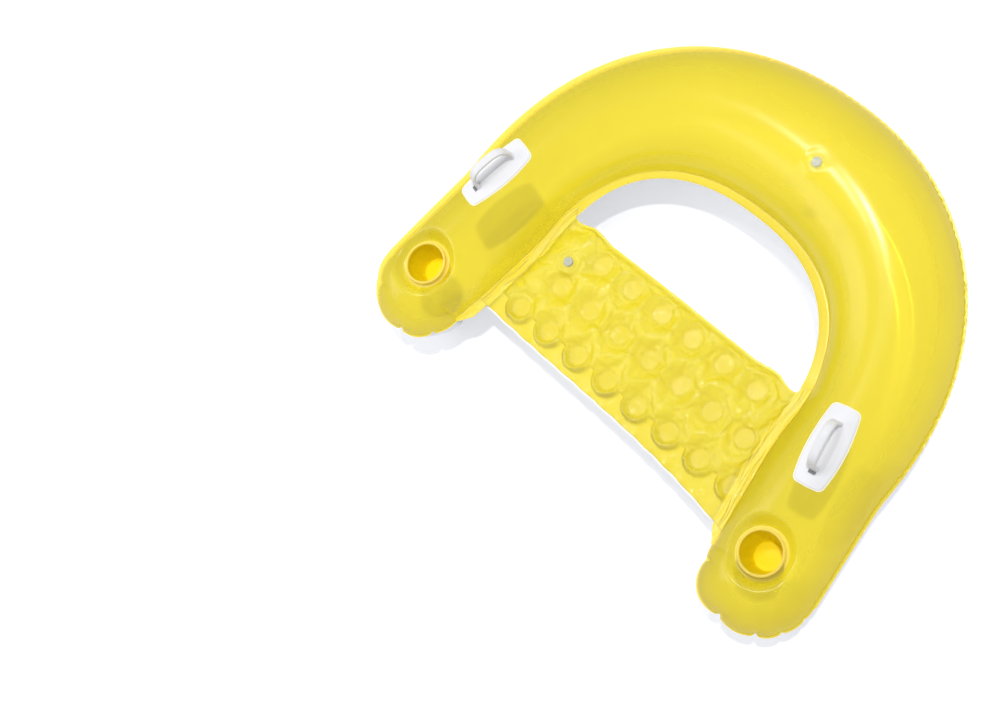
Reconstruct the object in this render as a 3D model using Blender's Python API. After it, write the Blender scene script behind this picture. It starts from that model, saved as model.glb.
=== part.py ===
"""Inflatable pool chair: a horseshoe float tube, a spot-welded seat panel, two cup
pockets, two moulded grab handles and two push-in air valves.

Units are metres, +Z is up, +Y is towards the back of the chair and the arms point to -Y.
The chair lies on the floor at Z = 0, with its origin under the middle of its outline.
"""
import math

import bmesh
import bpy
from mathutils import Vector
from mathutils.geometry import delaunay_2d_cdt

# Sheet vinyl and welds
SHEET = 0.0004
GAP = 0.0003

# Float tube, inflated
ARM_SPREAD = 0.4595
ARM_LENGTH = 0.257
ARM_SPLAY = 0.0425
SPLAY_EASE_SHARE = 0.15
BACK_DEPTH = 0.456
BACK_POWER = 2.23
ARM_RADIUS = 0.115
ARM_END_RADIUS = 0.112
BACK_RADIUS = 0.138
SEAM_HEIGHT = 0.120
END_HEIGHT_SHARE = 0.88
OUTER_FLANGE = 0.009
INNER_FLANGE = 0.026
INNER_FLANGE_LIFT = 0.008
ARM_STATIONS = 4
BACK_STATIONS = 16
TIP_FAN_STEPS = 8
SECTION_DEGREES = (0, 22, 46, 68, 83, 97, 112, 134, 158, 180)
FLAT_DEGREES = 83

# Cup pockets, in the arm ends
CUP_STATION_SHARE = 0.86
CUP_INSET = 0.005
CUP_RING_HEIGHT = 0.074
CUP_RING_RADIUS = 0.053
CUP_DIMPLE_RADIUS = 0.078
CUP_WALL_RADIUS = 0.0455
CUP_WALL = 0.0012
CUP_RIM_ROLL = 0.0030
CUP_COLLAR_HEIGHT = 0.0095
CUP_TAPER_START = 0.012
CUP_DEPTH = 0.058
CUP_FLOOR_RADIUS = 0.031
CUP_WELD_WIDTH = 0.006
CUP_STEPS = 20

# Seat panel
SEAT_FRONT = 0.224
SEAT_FRONT_SKEW = 0.014
SEAT_REAR = 0.067
SEAT_FRONT_STRIP = 0.012
SEAT_REAR_STRIP = 0.008
SEAT_PUFF = 0.016
SEAT_PUFF_REACH = 0.033
SEAT_SIDE_INSET = 0.003
SEAT_NOTCH = 0.022
SEAT_EAR = 0.009
SEAT_EAR_INSET = 0.012
SEAT_EAR_REACH = 0.045
SEAT_BLEND = 0.020
DISC_RADIUS = 0.022
DISC_PITCH = 0.0876
DISC_ROW_SPACING = 0.0894
DISC_MIDDLE_Y = -0.0736
DISC_MIDDLE_X = 0.0284
DISC_COUNTS = (8, 7, 6)
DISC_STEPS = 8
DISC_SHOULDER = 0.008
EDGE_STEP = 0.040
SEAT_EDGE_STEPS = 16

# Moulded grab handles
HANDLE_Y = 0.0195
HANDLE_OUT = 0.0075
HANDLE_DRIFT = 0.0085
HANDLE_STAGGER = 0.0065
HANDLE_DEGREES = 12
PLATE_LENGTH = 0.170
PLATE_END_WIDTH = 0.060
PLATE_MID_WIDTH = 0.080
PLATE_CORNER_SHARE = 0.22
PLATE_CORNER_CUT_SHARE = 0.25
PLATE_THICKNESS = 0.0025
PLATE_STATIONS = 8
PLATE_STRIPS = 5
GRIP_FOOT = 0.048
GRIP_RISE = 0.046
GRIP_DRIFT = 0.005
GRIP_WIDTH = 0.022
GRIP_DEPTH = 0.008
GRIP_FOOT_SINK = 0.0015
GRIP_SQUARENESS_SHARE = 0.6
GRIP_FULLNESS_SHARE = 0.8
GRIP_STATIONS = 12
GRIP_SIDES = 8

# Air valves
VALVE_FLANGE_RADIUS = 0.019
VALVE_FLANGE = 0.0012
VALVE_NECK_RADIUS = 0.012
VALVE_BORE_RADIUS = 0.0098
VALVE_PROUD = 0.001
VALVE_DEPTH = 0.013
VALVE_PAD_RADIUS = 0.022
VALVE_PAD_SINK = 0.001
STEM_BORE_RADIUS = 0.006
CAP_RADIUS = 0.0098
CAP_LID = 0.0015
PLUG_TOP_RADIUS = 0.0056
PLUG_TIP_RADIUS = 0.0047
PLUG_LENGTH = 0.005
FLAP_RADIUS = 0.008
FLAP = 0.0008
VALVE_STEPS = 16
TUBE_VALVE_X = 0.085
TUBE_VALVE_INSET = 0.020
SEAT_VALVE_INSET = 0.0642
SEAT_VALVE_Y = -0.023

# Levels of the stacked weld flanges, above and below the seam plane
SEAT_SHOULDER_INSET = INNER_FLANGE + SEAT_SIDE_INSET
TUBE_WELD = GAP / 2 + SHEET
SEAT_WELD = TUBE_WELD + GAP + SHEET


def clear_scene():
    for item in list(bpy.data.objects):
        bpy.data.objects.remove(item, do_unlink=True)


def vinyl(name, colour, roughness, alpha=1.0):
    """A material with the finish of one of the chair's plastics."""
    material = bpy.data.materials.new(name)
    material.use_nodes = True
    shader = material.node_tree.nodes["Principled BSDF"]
    shader.inputs["Base Color"].default_value = (*colour, 1.0)
    shader.inputs["Roughness"].default_value = roughness
    shader.inputs["Metallic"].default_value = 0.0
    shader.inputs["Alpha"].default_value = alpha
    return material


def add_object(name, bm, material, origin=(0.0, 0.0, 0.0)):
    """Turn a bmesh, given in the chair's frame, into a named object with its own origin."""
    bmesh.ops.translate(bm, verts=bm.verts, vec=-Vector(origin))
    mesh = bpy.data.meshes.new(name)
    bm.to_mesh(mesh)
    bm.free()
    mesh.materials.append(material)
    mesh.shade_smooth()
    mesh.set_sharp_from_angle(angle=math.radians(40))
    item = bpy.data.objects.new(name, mesh)
    bpy.context.scene.collection.objects.link(item)
    item.location = origin
    return item


# The tube's path

def arm_point(share):
    """A point of the right arm's centreline, from the back at 0 to the arm's end at 1."""
    spread = ARM_SPREAD + ARM_SPLAY * share * share / (share + SPLAY_EASE_SHARE)
    return Vector((spread, -ARM_LENGTH * share))


def back_point(angle):
    """A point of the back's centreline, a full-bodied arc from one arm to the other."""
    cosine, sine = math.cos(angle), math.sin(angle)
    across = math.copysign(abs(cosine) ** (2 / BACK_POWER), cosine)
    return Vector((ARM_SPREAD * across, BACK_DEPTH * abs(sine) ** (2 / BACK_POWER)))


def tube_path():
    """Stations from the right arm's end round to the left one: place, outward normal, radius."""
    arm = [arm_point(1 - step / ARM_STATIONS) for step in range(ARM_STATIONS)]
    back = [back_point(math.pi * step / BACK_STATIONS) for step in range(BACK_STATIONS + 1)]
    points = arm + back + [Vector((-p.x, p.y)) for p in reversed(arm)]
    stations = []
    for index, place in enumerate(points):
        ahead = points[min(index + 1, len(points) - 1)]
        behind = points[max(index - 1, 0)]
        along = (ahead - behind).normalized()
        stations.append((place, Vector((along.y, -along.x)), tube_radius(place.y)))
    return stations


def tube_radius(y):
    share = max(y / BACK_DEPTH, -y / ARM_LENGTH)
    far_radius = BACK_RADIUS if y > 0 else ARM_END_RADIUS
    return ARM_RADIUS + (far_radius - ARM_RADIUS) * share * share


def end_fall(y):
    """The tube is a little flatter towards the ends of the arms."""
    share = min(max(-y / ARM_LENGTH, 0.0), 1.0)
    return 1 - (1 - END_HEIGHT_SHARE) * share * share


def section_rise(degrees):
    """Height of the section at an angle from the outer seam, with a flat strip at the crest."""
    return min(1.0, math.sin(math.radians(degrees)) / math.sin(math.radians(FLAT_DEGREES)))


def crest_height(place, radius, lower):
    """Greatest height of the sheet above, or depth below, the seam plane."""
    if lower:
        return SEAM_HEIGHT - TUBE_WELD
    return radius * end_fall(place.y)


def tube_height(x, y):
    """Height of the upper sheet over the seam plane at a place well inside the seams."""
    spot = Vector((x, y))
    best, height = None, 0.0
    for (start, _, first), (end, _, second) in zip(PATH, PATH[1:]):
        run = end - start
        share = min(max((spot - start).dot(run) / run.length_squared, 0.0), 1.0)
        foot = start + run * share
        off = (spot - foot).length
        if best is None or off < best:
            best = off
            radius = first + (second - first) * share
            sine = math.sqrt(max(0.0, 1 - (off / radius) ** 2))
            rise = min(1.0, sine / math.sin(math.radians(FLAT_DEGREES)))
            height = crest_height(foot, radius, False) * rise
    return height


def seam_offset_x(y, extra):
    """X of a line that runs inside the tube's inner seam, at a distance from the seam."""
    line = [place - out * (radius + extra) for place, out, radius in PATH[:len(PATH) // 2]]
    for first, second in zip(line, line[1:]):
        if first.y <= y <= second.y:
            share = (y - first.y) / (second.y - first.y)
            return first.x + (second.x - first.x) * share
    return line[0].x


def cup_centre(side):
    place = arm_point(CUP_STATION_SHARE)
    return Vector((side * (place.x - CUP_INSET), place.y))


def tube_valve_centre():
    share = 1 - (TUBE_VALVE_X / ARM_SPREAD) ** BACK_POWER
    return Vector((TUBE_VALVE_X, BACK_DEPTH * share ** (1 / BACK_POWER) - TUBE_VALVE_INSET))


def seat_valve_centre():
    side = seam_offset_x(SEAT_VALVE_Y, SEAT_SHOULDER_INSET)
    return Vector((SEAT_VALVE_INSET - side, SEAT_VALVE_Y))


def tube_valve_level():
    return SEAM_HEIGHT + TUBE_WELD + tube_height(*tube_valve_centre()) - VALVE_PAD_SINK


def seat_valve_level():
    return SEAM_HEIGHT + TUBE_WELD + SEAT_PUFF


def ring(centre, radius, steps):
    turn = 2 * math.pi / steps
    return [centre + radius * Vector((math.cos(turn * k), math.sin(turn * k)))
            for k in range(steps)]


# Sheets cut in plan, lifted into their inflated shape and given their thickness

class PlanSheet:
    """Points of one sheet with the loops that bound it and its holes."""

    def __init__(self):
        self.points = []
        self.loops = []
        self.holes = []
        self.seams = []

    def add(self, points):
        first = len(self.points)
        self.points.extend(points)
        return list(range(first, len(self.points)))

    def clear(self, inside):
        """Leave out the loose points of an area, before any loop or patch is added."""
        self.points = [p for p in self.points if not inside(Vector(p[:2]))]

    def clear_round(self, centre, radius):
        self.clear(lambda place: (place - centre).length <= radius)

    def add_loop(self, points):
        self.loops.append(self.add(points))

    def add_patch(self, rows):
        """A grid of points whose facets a plate on the sheet shares."""
        made = [self.add(row) for row in rows]
        for row in made:
            self.seams.extend(zip(row, row[1:]))
        for first, second in zip(made, made[1:]):
            self.seams.extend(zip(first, second))
            self.seams.extend(zip(first, second[1:]))

    def add_hole(self, centre, radius, points):
        self.add_loop(points)
        self.holes.append((centre, radius))

    def build(self, flipped):
        flat = [Vector(p[:2]) for p in self.points]
        edges = [(loop[k - 1], loop[k]) for loop in self.loops for k in range(len(loop))]
        edges += self.seams
        verts, _, faces, origins = delaunay_2d_cdt(flat, edges, [], 1, GAP / 10)[:4]
        bm = bmesh.new()
        made = [bm.verts.new((*v, self.points[o[0]][2])) for v, o in zip(verts, origins)]
        for face in faces:
            middle = sum((verts[k] for k in face), Vector((0.0, 0.0))) / len(face)
            if any((middle - centre).length < radius for centre, radius in self.holes):
                continue
            order = reversed(face) if flipped else face
            bm.faces.new([made[k] for k in order])
        loose = [v for v in bm.verts if not v.link_faces]
        bmesh.ops.delete(bm, geom=loose, context="VERTS")
        return bm


def thicken(item):
    """Give a sheet its thickness on its inner side."""
    solid = item.modifiers.new("sheet thickness", "SOLIDIFY")
    solid.thickness = SHEET
    solid.offset = -1.0
    solid.use_even_offset = True
    return item


def lifted(place, height, lower, rise=0.0):
    """Put a plan point at a height over, or a depth under, the risen seam."""
    level = TUBE_WELD + height
    return (place.x, place.y, SEAM_HEIGHT + rise + (-level if lower else level))


def flange_rise(place):
    """The free edge of the inner weld stands up a little round the back opening."""
    share = min(max((place.y - SEAT_REAR - SEAT_EAR) / BACK_RADIUS, 0.0), 1.0)
    return INNER_FLANGE_LIFT * share


def inner_flange(place):
    """Width of the inner weld, which narrows to the outer one where an arm ends."""
    beyond = min(max((-place.y - SEAT_FRONT) / (ARM_LENGTH - SEAT_FRONT), 0.0), 1.0)
    return INNER_FLANGE + (OUTER_FLANGE - INNER_FLANGE) * beyond


def tip_fan(station, forward, lower):
    """Points of the rounded end beyond a tip station, and its flange edge, outer side first."""
    place, out, radius = station
    inner, edge = [], []
    for step in range(1, TIP_FAN_STEPS):
        turn = math.pi * step / TIP_FAN_STEPS
        toward = out * math.cos(turn) + forward * math.sin(turn)
        for degrees in SECTION_DEGREES:
            if degrees >= 90:
                break
            reach = radius * math.cos(math.radians(degrees))
            height = crest_height(place, radius, lower) * section_rise(degrees)
            inner.append(lifted(place + toward * reach, height, lower))
        edge.append(lifted(place + toward * (radius + OUTER_FLANGE), 0.0, lower))
    return inner, edge


def tube_sheet_plan(lower):
    """Plan points of the upper or lower sheet of the tube, with its outline as a loop."""
    sheet = PlanSheet()
    outer_edge, inner_edge = [], []
    for place, out, radius in PATH:
        crest = crest_height(place, radius, lower)
        for degrees in SECTION_DEGREES:
            reach = radius * math.cos(math.radians(degrees))
            sheet.add([lifted(place + out * reach, crest * section_rise(degrees), lower)])
        outer_edge.append(lifted(place + out * (radius + OUTER_FLANGE), 0.0, lower))
        edge = place - out * (radius + inner_flange(place))
        inner_edge.append(lifted(edge, 0.0, lower, flange_rise(edge)))
    fans = []
    for index, sense in ((0, 1.0), (-1, -1.0)):
        out = PATH[index][1]
        forward = Vector((out.y, -out.x)) * sense
        inner, edge = tip_fan(PATH[index], forward, lower)
        sheet.add(inner)
        fans.append(edge)
    outline = outer_edge + fans[1] + inner_edge[::-1] + fans[0][::-1]
    return sheet, outline


def dimpled(place, level, natural, radius):
    """Height round a fitting that holds the sheet level, blending into the natural shape."""
    blend = min(max((place - level[0]).length - level[1], 0.0) / radius, 1.0)
    ease = blend * blend * (3 - 2 * blend)
    return level[2] + (natural - level[2]) * ease


def tube_top_sheet(material):
    sheet, outline = tube_sheet_plan(False)
    valve = tube_valve_centre()
    cups = [cup_centre(side) for side in (1, -1)]
    for centre in cups:
        sheet.clear_round(centre, CUP_DIMPLE_RADIUS + DISC_SHOULDER)
    sheet.clear_round(valve, VALVE_PAD_RADIUS + DISC_SHOULDER)
    for side in (1, -1):
        sheet.clear(lambda place, side=side: beside_plate(side, place))
    sheet.add_loop(outline)
    for side in (1, -1):
        sheet.add_patch([[lifted(p, tube_height(*p), False) for p in row]
                         for row in plate_rows(side)])
    spread = CUP_DIMPLE_RADIUS - CUP_RING_RADIUS
    for centre in cups:
        level = (centre, CUP_RING_RADIUS, CUP_RING_HEIGHT)
        for share in (0, 0.5, 1):
            places = ring(centre, CUP_RING_RADIUS + spread * share, CUP_STEPS)
            heights = [dimpled(p, level, tube_height(*p), spread) for p in places]
            sheet.add([lifted(p, h, False) for p, h in zip(places, heights)])
        hole = CUP_WALL_RADIUS + GAP
        places = ring(centre, hole, CUP_STEPS)
        sheet.add_hole(centre, hole, [lifted(p, CUP_RING_HEIGHT, False) for p in places])
    pad = tube_height(*valve) - VALVE_PAD_SINK
    add_valve_pad(sheet, valve, pad)
    return thicken(add_object("tube_top_sheet", sheet.build(False), material))


def add_valve_pad(sheet, centre, height):
    """A level ring of sheet round a valve's neck, with the hole for the neck."""
    places = ring(centre, VALVE_PAD_RADIUS, VALVE_STEPS)
    sheet.add([lifted(p, height, False) for p in places])
    hole = VALVE_NECK_RADIUS + GAP
    places = ring(centre, hole, VALVE_STEPS)
    sheet.add_hole(centre, hole, [lifted(p, height, False) for p in places])


def tube_bottom_sheet(material):
    sheet, outline = tube_sheet_plan(True)
    sheet.add_loop(outline)
    return thicken(add_object("tube_bottom_sheet", sheet.build(True), material))


# Seat panel

def seat_front(x):
    """Y of the panel's front edge, which stands further out at the right arm."""
    return -SEAT_FRONT - SEAT_FRONT_SKEW * x / ARM_SPREAD


def disc_centres():
    """Places of the round welds, in staggered rows from the front one to the rear one."""
    centres = []
    for row, count in enumerate(DISC_COUNTS):
        y = DISC_MIDDLE_Y + DISC_ROW_SPACING * (row - 1)
        for place in range(count):
            centre = Vector((DISC_MIDDLE_X + DISC_PITCH * (place - (count - 1) / 2), y))
            if disc_fits(centre):
                centres.append(centre)
    return centres


def disc_fits(centre):
    """Whether a round weld has room between the panel's edges and beside its valve."""
    off_valve = (centre - seat_valve_centre()).length - VALVE_PAD_RADIUS - DISC_SHOULDER
    return (abs(centre.x) + DISC_RADIUS < seam_offset_x(centre.y, 2 * SEAT_SIDE_INSET)
            and centre.y - DISC_RADIUS > seat_front(centre.x) + SEAT_FRONT_STRIP
            and centre.y + DISC_RADIUS < SEAT_REAR - SEAT_REAR_STRIP
            and off_valve > DISC_RADIUS)


def seat_side(side, extra):
    """A line along one side weld, from front to rear, at a distance inside the seam."""
    rear = SEAT_REAR - SEAT_NOTCH
    front = seat_front(side * seam_offset_x(-SEAT_FRONT, extra))
    count = math.ceil((rear - front) / EDGE_STEP)
    levels = [front + (rear - front) * k / count for k in range(count + 1)]
    return [Vector((side * seam_offset_x(y, extra), y)) for y in levels]


def seat_base(place):
    """Extra height that carries the seat sheet over the tube's flange near the sides."""
    shoulder = seam_offset_x(place.y, SEAT_SHOULDER_INSET)
    share = min(max((shoulder - abs(place.x)) / SEAT_BLEND, 0.0), 1.0)
    return (SEAT_WELD - TUBE_WELD) * (1 - share)


def seat_puff(place, discs):
    """Inflated height of the seat sheet over its welds."""
    shoulder = seam_offset_x(place.y, SEAT_SHOULDER_INSET)
    reach = min((place - disc).length for disc in discs) - DISC_RADIUS
    reach = min(reach, place.y - seat_front(place.x) - SEAT_FRONT_STRIP)
    reach = min(reach, SEAT_REAR - SEAT_REAR_STRIP - place.y, shoulder - abs(place.x))
    share = min(max(reach / SEAT_PUFF_REACH, 0.0), 1.0)
    return SEAT_PUFF * math.sqrt(1 - (1 - share) ** 2)


def seat_height(place, discs, lower):
    """Height of a seat sheet over the seam plane, level where the valve sits in it."""
    natural = seat_puff(place, discs)
    if not lower:
        level = (seat_valve_centre(), VALVE_PAD_RADIUS, SEAT_PUFF)
        natural = dimpled(place, level, natural, DISC_SHOULDER)
    return natural + seat_base(place)


def spread_out(left, right, count):
    return [left + (right - left) * k / count for k in range(count + 1)]


def seat_outline():
    """The panel's outline, with an ear at each rear corner where its side weld runs on."""
    rear_ends, sides = [], []
    for side in (1, -1):
        shoulder = seat_side(side, SEAT_SHOULDER_INSET)
        corner = shoulder[-1].x
        ear = Vector((corner - side * SEAT_EAR_INSET, SEAT_REAR + SEAT_EAR))
        sides.append((seat_side(side, SEAT_SIDE_INSET) + [shoulder[-1], ear], shoulder[0].x))
        rear_ends.append(corner - side * SEAT_EAR_REACH)
    (right, front_right), (left, front_left) = sides
    rear = [Vector((x, SEAT_REAR)) for x in spread_out(*rear_ends, SEAT_EDGE_STEPS)]
    front = [Vector((x, seat_front(x)))
             for x in spread_out(front_left, front_right, SEAT_EDGE_STEPS)]
    return right + rear + left[::-1] + front


def seat_sheet(name, lower, material):
    discs = disc_centres()
    outline = seat_outline()
    sheet = PlanSheet()
    places = inner_seat_points(discs)
    sheet.add([lifted(p, seat_height(p, discs, lower), lower) for p in places])
    valve = seat_valve_centre()
    if not lower:
        sheet.clear_round(valve, VALVE_PAD_RADIUS + DISC_SHOULDER / 2)
    sheet.add_loop([lifted(p, seat_base(p), lower) for p in outline])
    for disc in discs:
        sheet.add_loop([lifted(p, seat_base(p), lower)
                        for p in ring(disc, DISC_RADIUS, DISC_STEPS)])
    if not lower:
        add_valve_pad(sheet, valve, SEAT_PUFF)
    return thicken(add_object(name, sheet.build(lower), material))


def inner_seat_points(discs):
    """Points of the puffed surface: shoulders of the discs, crests between them, edges."""
    rear = SEAT_REAR - SEAT_REAR_STRIP
    places = []
    for disc in discs:
        for place in ring(disc, DISC_RADIUS + DISC_SHOULDER, DISC_STEPS):
            clear = all((place - other).length > DISC_RADIUS + DISC_SHOULDER / 2
                        for other in discs if other is not disc)
            if clear and inside_seat(place, rear):
                places.append(place)
    rows = [DISC_MIDDLE_Y + DISC_ROW_SPACING * k / 2 for k in range(-2, 3)]
    for y in rows:
        wide = seam_offset_x(y, SEAT_SHOULDER_INSET + DISC_SHOULDER)
        for x in spread_out(-wide, wide, round(4 * wide / DISC_PITCH)):
            place = Vector((x, y))
            if min((place - disc).length for disc in discs) > DISC_RADIUS + 2 * DISC_SHOULDER:
                places.append(place)
    front_wide = seam_offset_x(-SEAT_FRONT, SEAT_SHOULDER_INSET)
    for x in spread_out(-front_wide, front_wide, SEAT_EDGE_STEPS):
        front = seat_front(x) + SEAT_FRONT_STRIP
        places.extend([Vector((x, front)), Vector((x, front + DISC_SHOULDER))])
    rear_wide = seam_offset_x(rear, SEAT_SHOULDER_INSET + SEAT_EAR_INSET)
    for x in spread_out(-rear_wide, rear_wide, SEAT_EDGE_STEPS):
        places.extend([Vector((x, rear)), Vector((x, rear - DISC_SHOULDER))])
    for side in (1, -1):
        places.extend(p for p in seat_side(side, SEAT_SHOULDER_INSET) if inside_seat(p, rear))
    return places


def inside_seat(place, rear):
    """Whether a place lies between the front and rear weld strips of the panel."""
    shoulder = seam_offset_x(place.y, SEAT_SHOULDER_INSET)
    return seat_front(place.x) + SEAT_FRONT_STRIP < place.y < rear and abs(place.x) <= shoulder


# Turned pieces

def turned(name, profile, centre, level, steps, material, hinge=(0.0, 0.0)):
    """Spin a closed profile of radius and height round an upright axis.

    The origin lies on that axis, or on a hinge line at a reach behind it and a height.
    """
    bm = bmesh.new()
    verts = [bm.verts.new((radius, 0.0, height)) for radius, height in profile]
    closed = all(radius > 0 for radius, _ in profile)
    pairs = list(zip(verts, verts[1:])) + ([(verts[-1], verts[0])] if closed else [])
    edges = [bm.edges.new(pair) for pair in pairs]
    bmesh.ops.spin(bm, geom=verts + edges, cent=(0, 0, 0), axis=(0, 0, 1),
                   angle=2 * math.pi, steps=steps, use_merge=True)
    bmesh.ops.remove_doubles(bm, verts=bm.verts, dist=GAP / 100)
    bmesh.ops.recalc_face_normals(bm, faces=bm.faces)
    bmesh.ops.translate(bm, verts=bm.verts, vec=(centre.x, centre.y, level))
    reach, height = hinge
    origin = (centre.x, centre.y + reach, level + height)
    return add_object(name, bm, material, origin)


def cup_parts(side, word, vinyls):
    """The sleeve of a cup pocket with its rolled collar and weld flanges, and its floor."""
    centre = cup_centre(side)
    level = SEAM_HEIGHT + TUBE_WELD + CUP_RING_HEIGHT
    wall, roll = CUP_WALL_RADIUS, CUP_RIM_ROLL
    middle = wall - CUP_WALL / 2
    under = -SHEET - GAP
    turns = [math.radians(60 * k) for k in range(3, -1, -1)]
    rim = [(middle + roll * math.cos(turn), CUP_COLLAR_HEIGHT + roll * math.sin(turn))
           for turn in turns]
    weld = wall + CUP_WELD_WIDTH
    foot = CUP_FLOOR_RADIUS - CUP_WALL
    ledge = CUP_WALL - CUP_DEPTH
    outside = [(wall, CUP_COLLAR_HEIGHT - roll), (wall, under), (weld, under),
               (weld, under - CUP_WALL), (wall, under - CUP_WALL), (wall, -CUP_TAPER_START),
               (CUP_FLOOR_RADIUS, -CUP_DEPTH), (foot - CUP_WELD_WIDTH, -CUP_DEPTH)]
    inside = [(foot - CUP_WELD_WIDTH, ledge), (foot, ledge), (wall - CUP_WALL, -CUP_TAPER_START),
              (wall - CUP_WALL, CUP_COLLAR_HEIGHT - roll)]
    turned("cup_sleeve_" + word, rim + outside + inside, centre, level, CUP_STEPS, vinyls)
    base = ledge + GAP
    disc = foot - GAP
    floor = [(0, base + CUP_WALL), (disc, base + CUP_WALL), (disc, base), (0, base)]
    turned("cup_floor_" + word, floor, centre, level, CUP_STEPS, vinyls)


# Grab handles

def plate_half_width(share):
    """Half width of the barrel-shaped plate, from its middle at 0 to an end at 1."""
    half = PLATE_MID_WIDTH + (PLATE_END_WIDTH - PLATE_MID_WIDTH) * share * share
    corner = max(0.0, share - 1 + PLATE_CORNER_SHARE) / PLATE_CORNER_SHARE
    return half / 2 * (1 - PLATE_CORNER_CUT_SHARE * corner * corner)


def handle_place(side, along, across):
    """Plan point of the handle, turned to run with the arm."""
    turn = math.radians(HANDLE_DEGREES) * side
    centre = Vector((side * (ARM_SPREAD + HANDLE_OUT) - HANDLE_DRIFT,
                     HANDLE_Y - side * HANDLE_STAGGER))
    forward = Vector((-math.sin(turn), math.cos(turn)))
    aside = Vector((math.cos(turn), math.sin(turn)))
    return centre + forward * along + aside * across


def beside_plate(side, place):
    """Whether a plan point lies under a handle's plate or close beside it."""
    turn = math.radians(HANDLE_DEGREES) * side
    off = place - handle_place(side, 0.0, 0.0)
    along = off.x * -math.sin(turn) + off.y * math.cos(turn)
    across = off.x * math.cos(turn) + off.y * math.sin(turn)
    half = plate_half_width(min(2 * abs(along) / PLATE_LENGTH, 1.0))
    return (abs(along) < PLATE_LENGTH / 2 + DISC_SHOULDER
            and abs(across) < half + DISC_SHOULDER)


def plate_rows(side):
    """Plan points of a handle's plate, in rows across the arm from front to back."""
    rows = []
    for step in range(PLATE_STATIONS + 1):
        share = 2 * step / PLATE_STATIONS - 1
        half = plate_half_width(abs(share))
        along = share * PLATE_LENGTH / 2
        rows.append([handle_place(side, along, half * (2 * k / PLATE_STRIPS - 1))
                     for k in range(PLATE_STRIPS + 1)])
    return rows


def handle_plate(side, word, material):
    """The curved weld plate of a handle, lying on the crest of the tube."""
    bm = bmesh.new()
    layers = []
    for lift in (GAP, GAP + PLATE_THICKNESS):
        level = SEAM_HEIGHT + TUBE_WELD + lift
        layers.append([[bm.verts.new((*p, level + tube_height(*p))) for p in row]
                       for row in plate_rows(side)])
    for rows in layers:
        for first, second in zip(rows, rows[1:]):
            for a, b, c, d in zip(first, first[1:], second[1:], second):
                bm.faces.new((a, b, c))
                bm.faces.new((a, c, d))
    rims = [boundary(rows) for rows in layers]
    for k in range(len(rims[0])):
        bm.faces.new((rims[0][k - 1], rims[0][k], rims[1][k], rims[1][k - 1]))
    bmesh.ops.recalc_face_normals(bm, faces=bm.faces)
    return add_object("grab_handle_" + word, bm, material)


def boundary(rows):
    right = [row[-1] for row in rows[1:-1]]
    left = [row[0] for row in rows[1:-1]]
    return rows[0] + right + rows[-1][::-1] + left[::-1]


def grip_bar(side, material):
    """The arched grip, a rounded bar that stands on the plate with both feet."""
    bm = bmesh.new()
    root = SEAM_HEIGHT + TUBE_WELD + tube_height(*handle_place(side, 0.0, 0.0)) + GAP
    foot = root + PLATE_THICKNESS - GRIP_FOOT_SINK
    lean = (side * HANDLE_OUT - HANDLE_DRIFT) / ARM_RADIUS
    loops = []
    for step in range(GRIP_STATIONS + 1):
        angle = math.pi * step / GRIP_STATIONS
        cosine = math.cos(angle)
        along = -math.copysign(abs(cosine) ** GRIP_SQUARENESS_SHARE, cosine) * GRIP_FOOT
        rise = math.sin(angle) ** GRIP_FULLNESS_SHARE * GRIP_RISE
        slope = math.pi / 2 - angle
        drift = rise * lean - GRIP_DRIFT
        loop = []
        for k in range(GRIP_SIDES):
            turn = 2 * math.pi * (k + 0.5) / GRIP_SIDES
            thick = GRIP_DEPTH / 2 * math.sin(turn)
            across = drift + GRIP_WIDTH / 2 * math.cos(turn)
            place = handle_place(side, along - thick * math.sin(slope), across)
            loop.append(bm.verts.new((*place, foot + rise + thick * math.cos(slope))))
        loops.append(loop)
    for first, second in zip(loops, loops[1:]):
        for k in range(GRIP_SIDES):
            bm.faces.new((first[k - 1], first[k], second[k], second[k - 1]))
    bm.faces.new(loops[0])
    bm.faces.new(loops[-1])
    bmesh.ops.recalc_face_normals(bm, faces=bm.faces)
    bar = add_object("grip_guide", bm, material)
    bar.hide_render = True
    bar.display_type = "WIRE"
    return bar


def grab_handle(side, word, material):
    plate = handle_plate(side, word, material)
    join = plate.modifiers.new("grip", "BOOLEAN")
    join.operation = "UNION"
    join.solver = "EXACT"
    join.object = grip_bar(side, material)
    return plate


# Air valves

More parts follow.
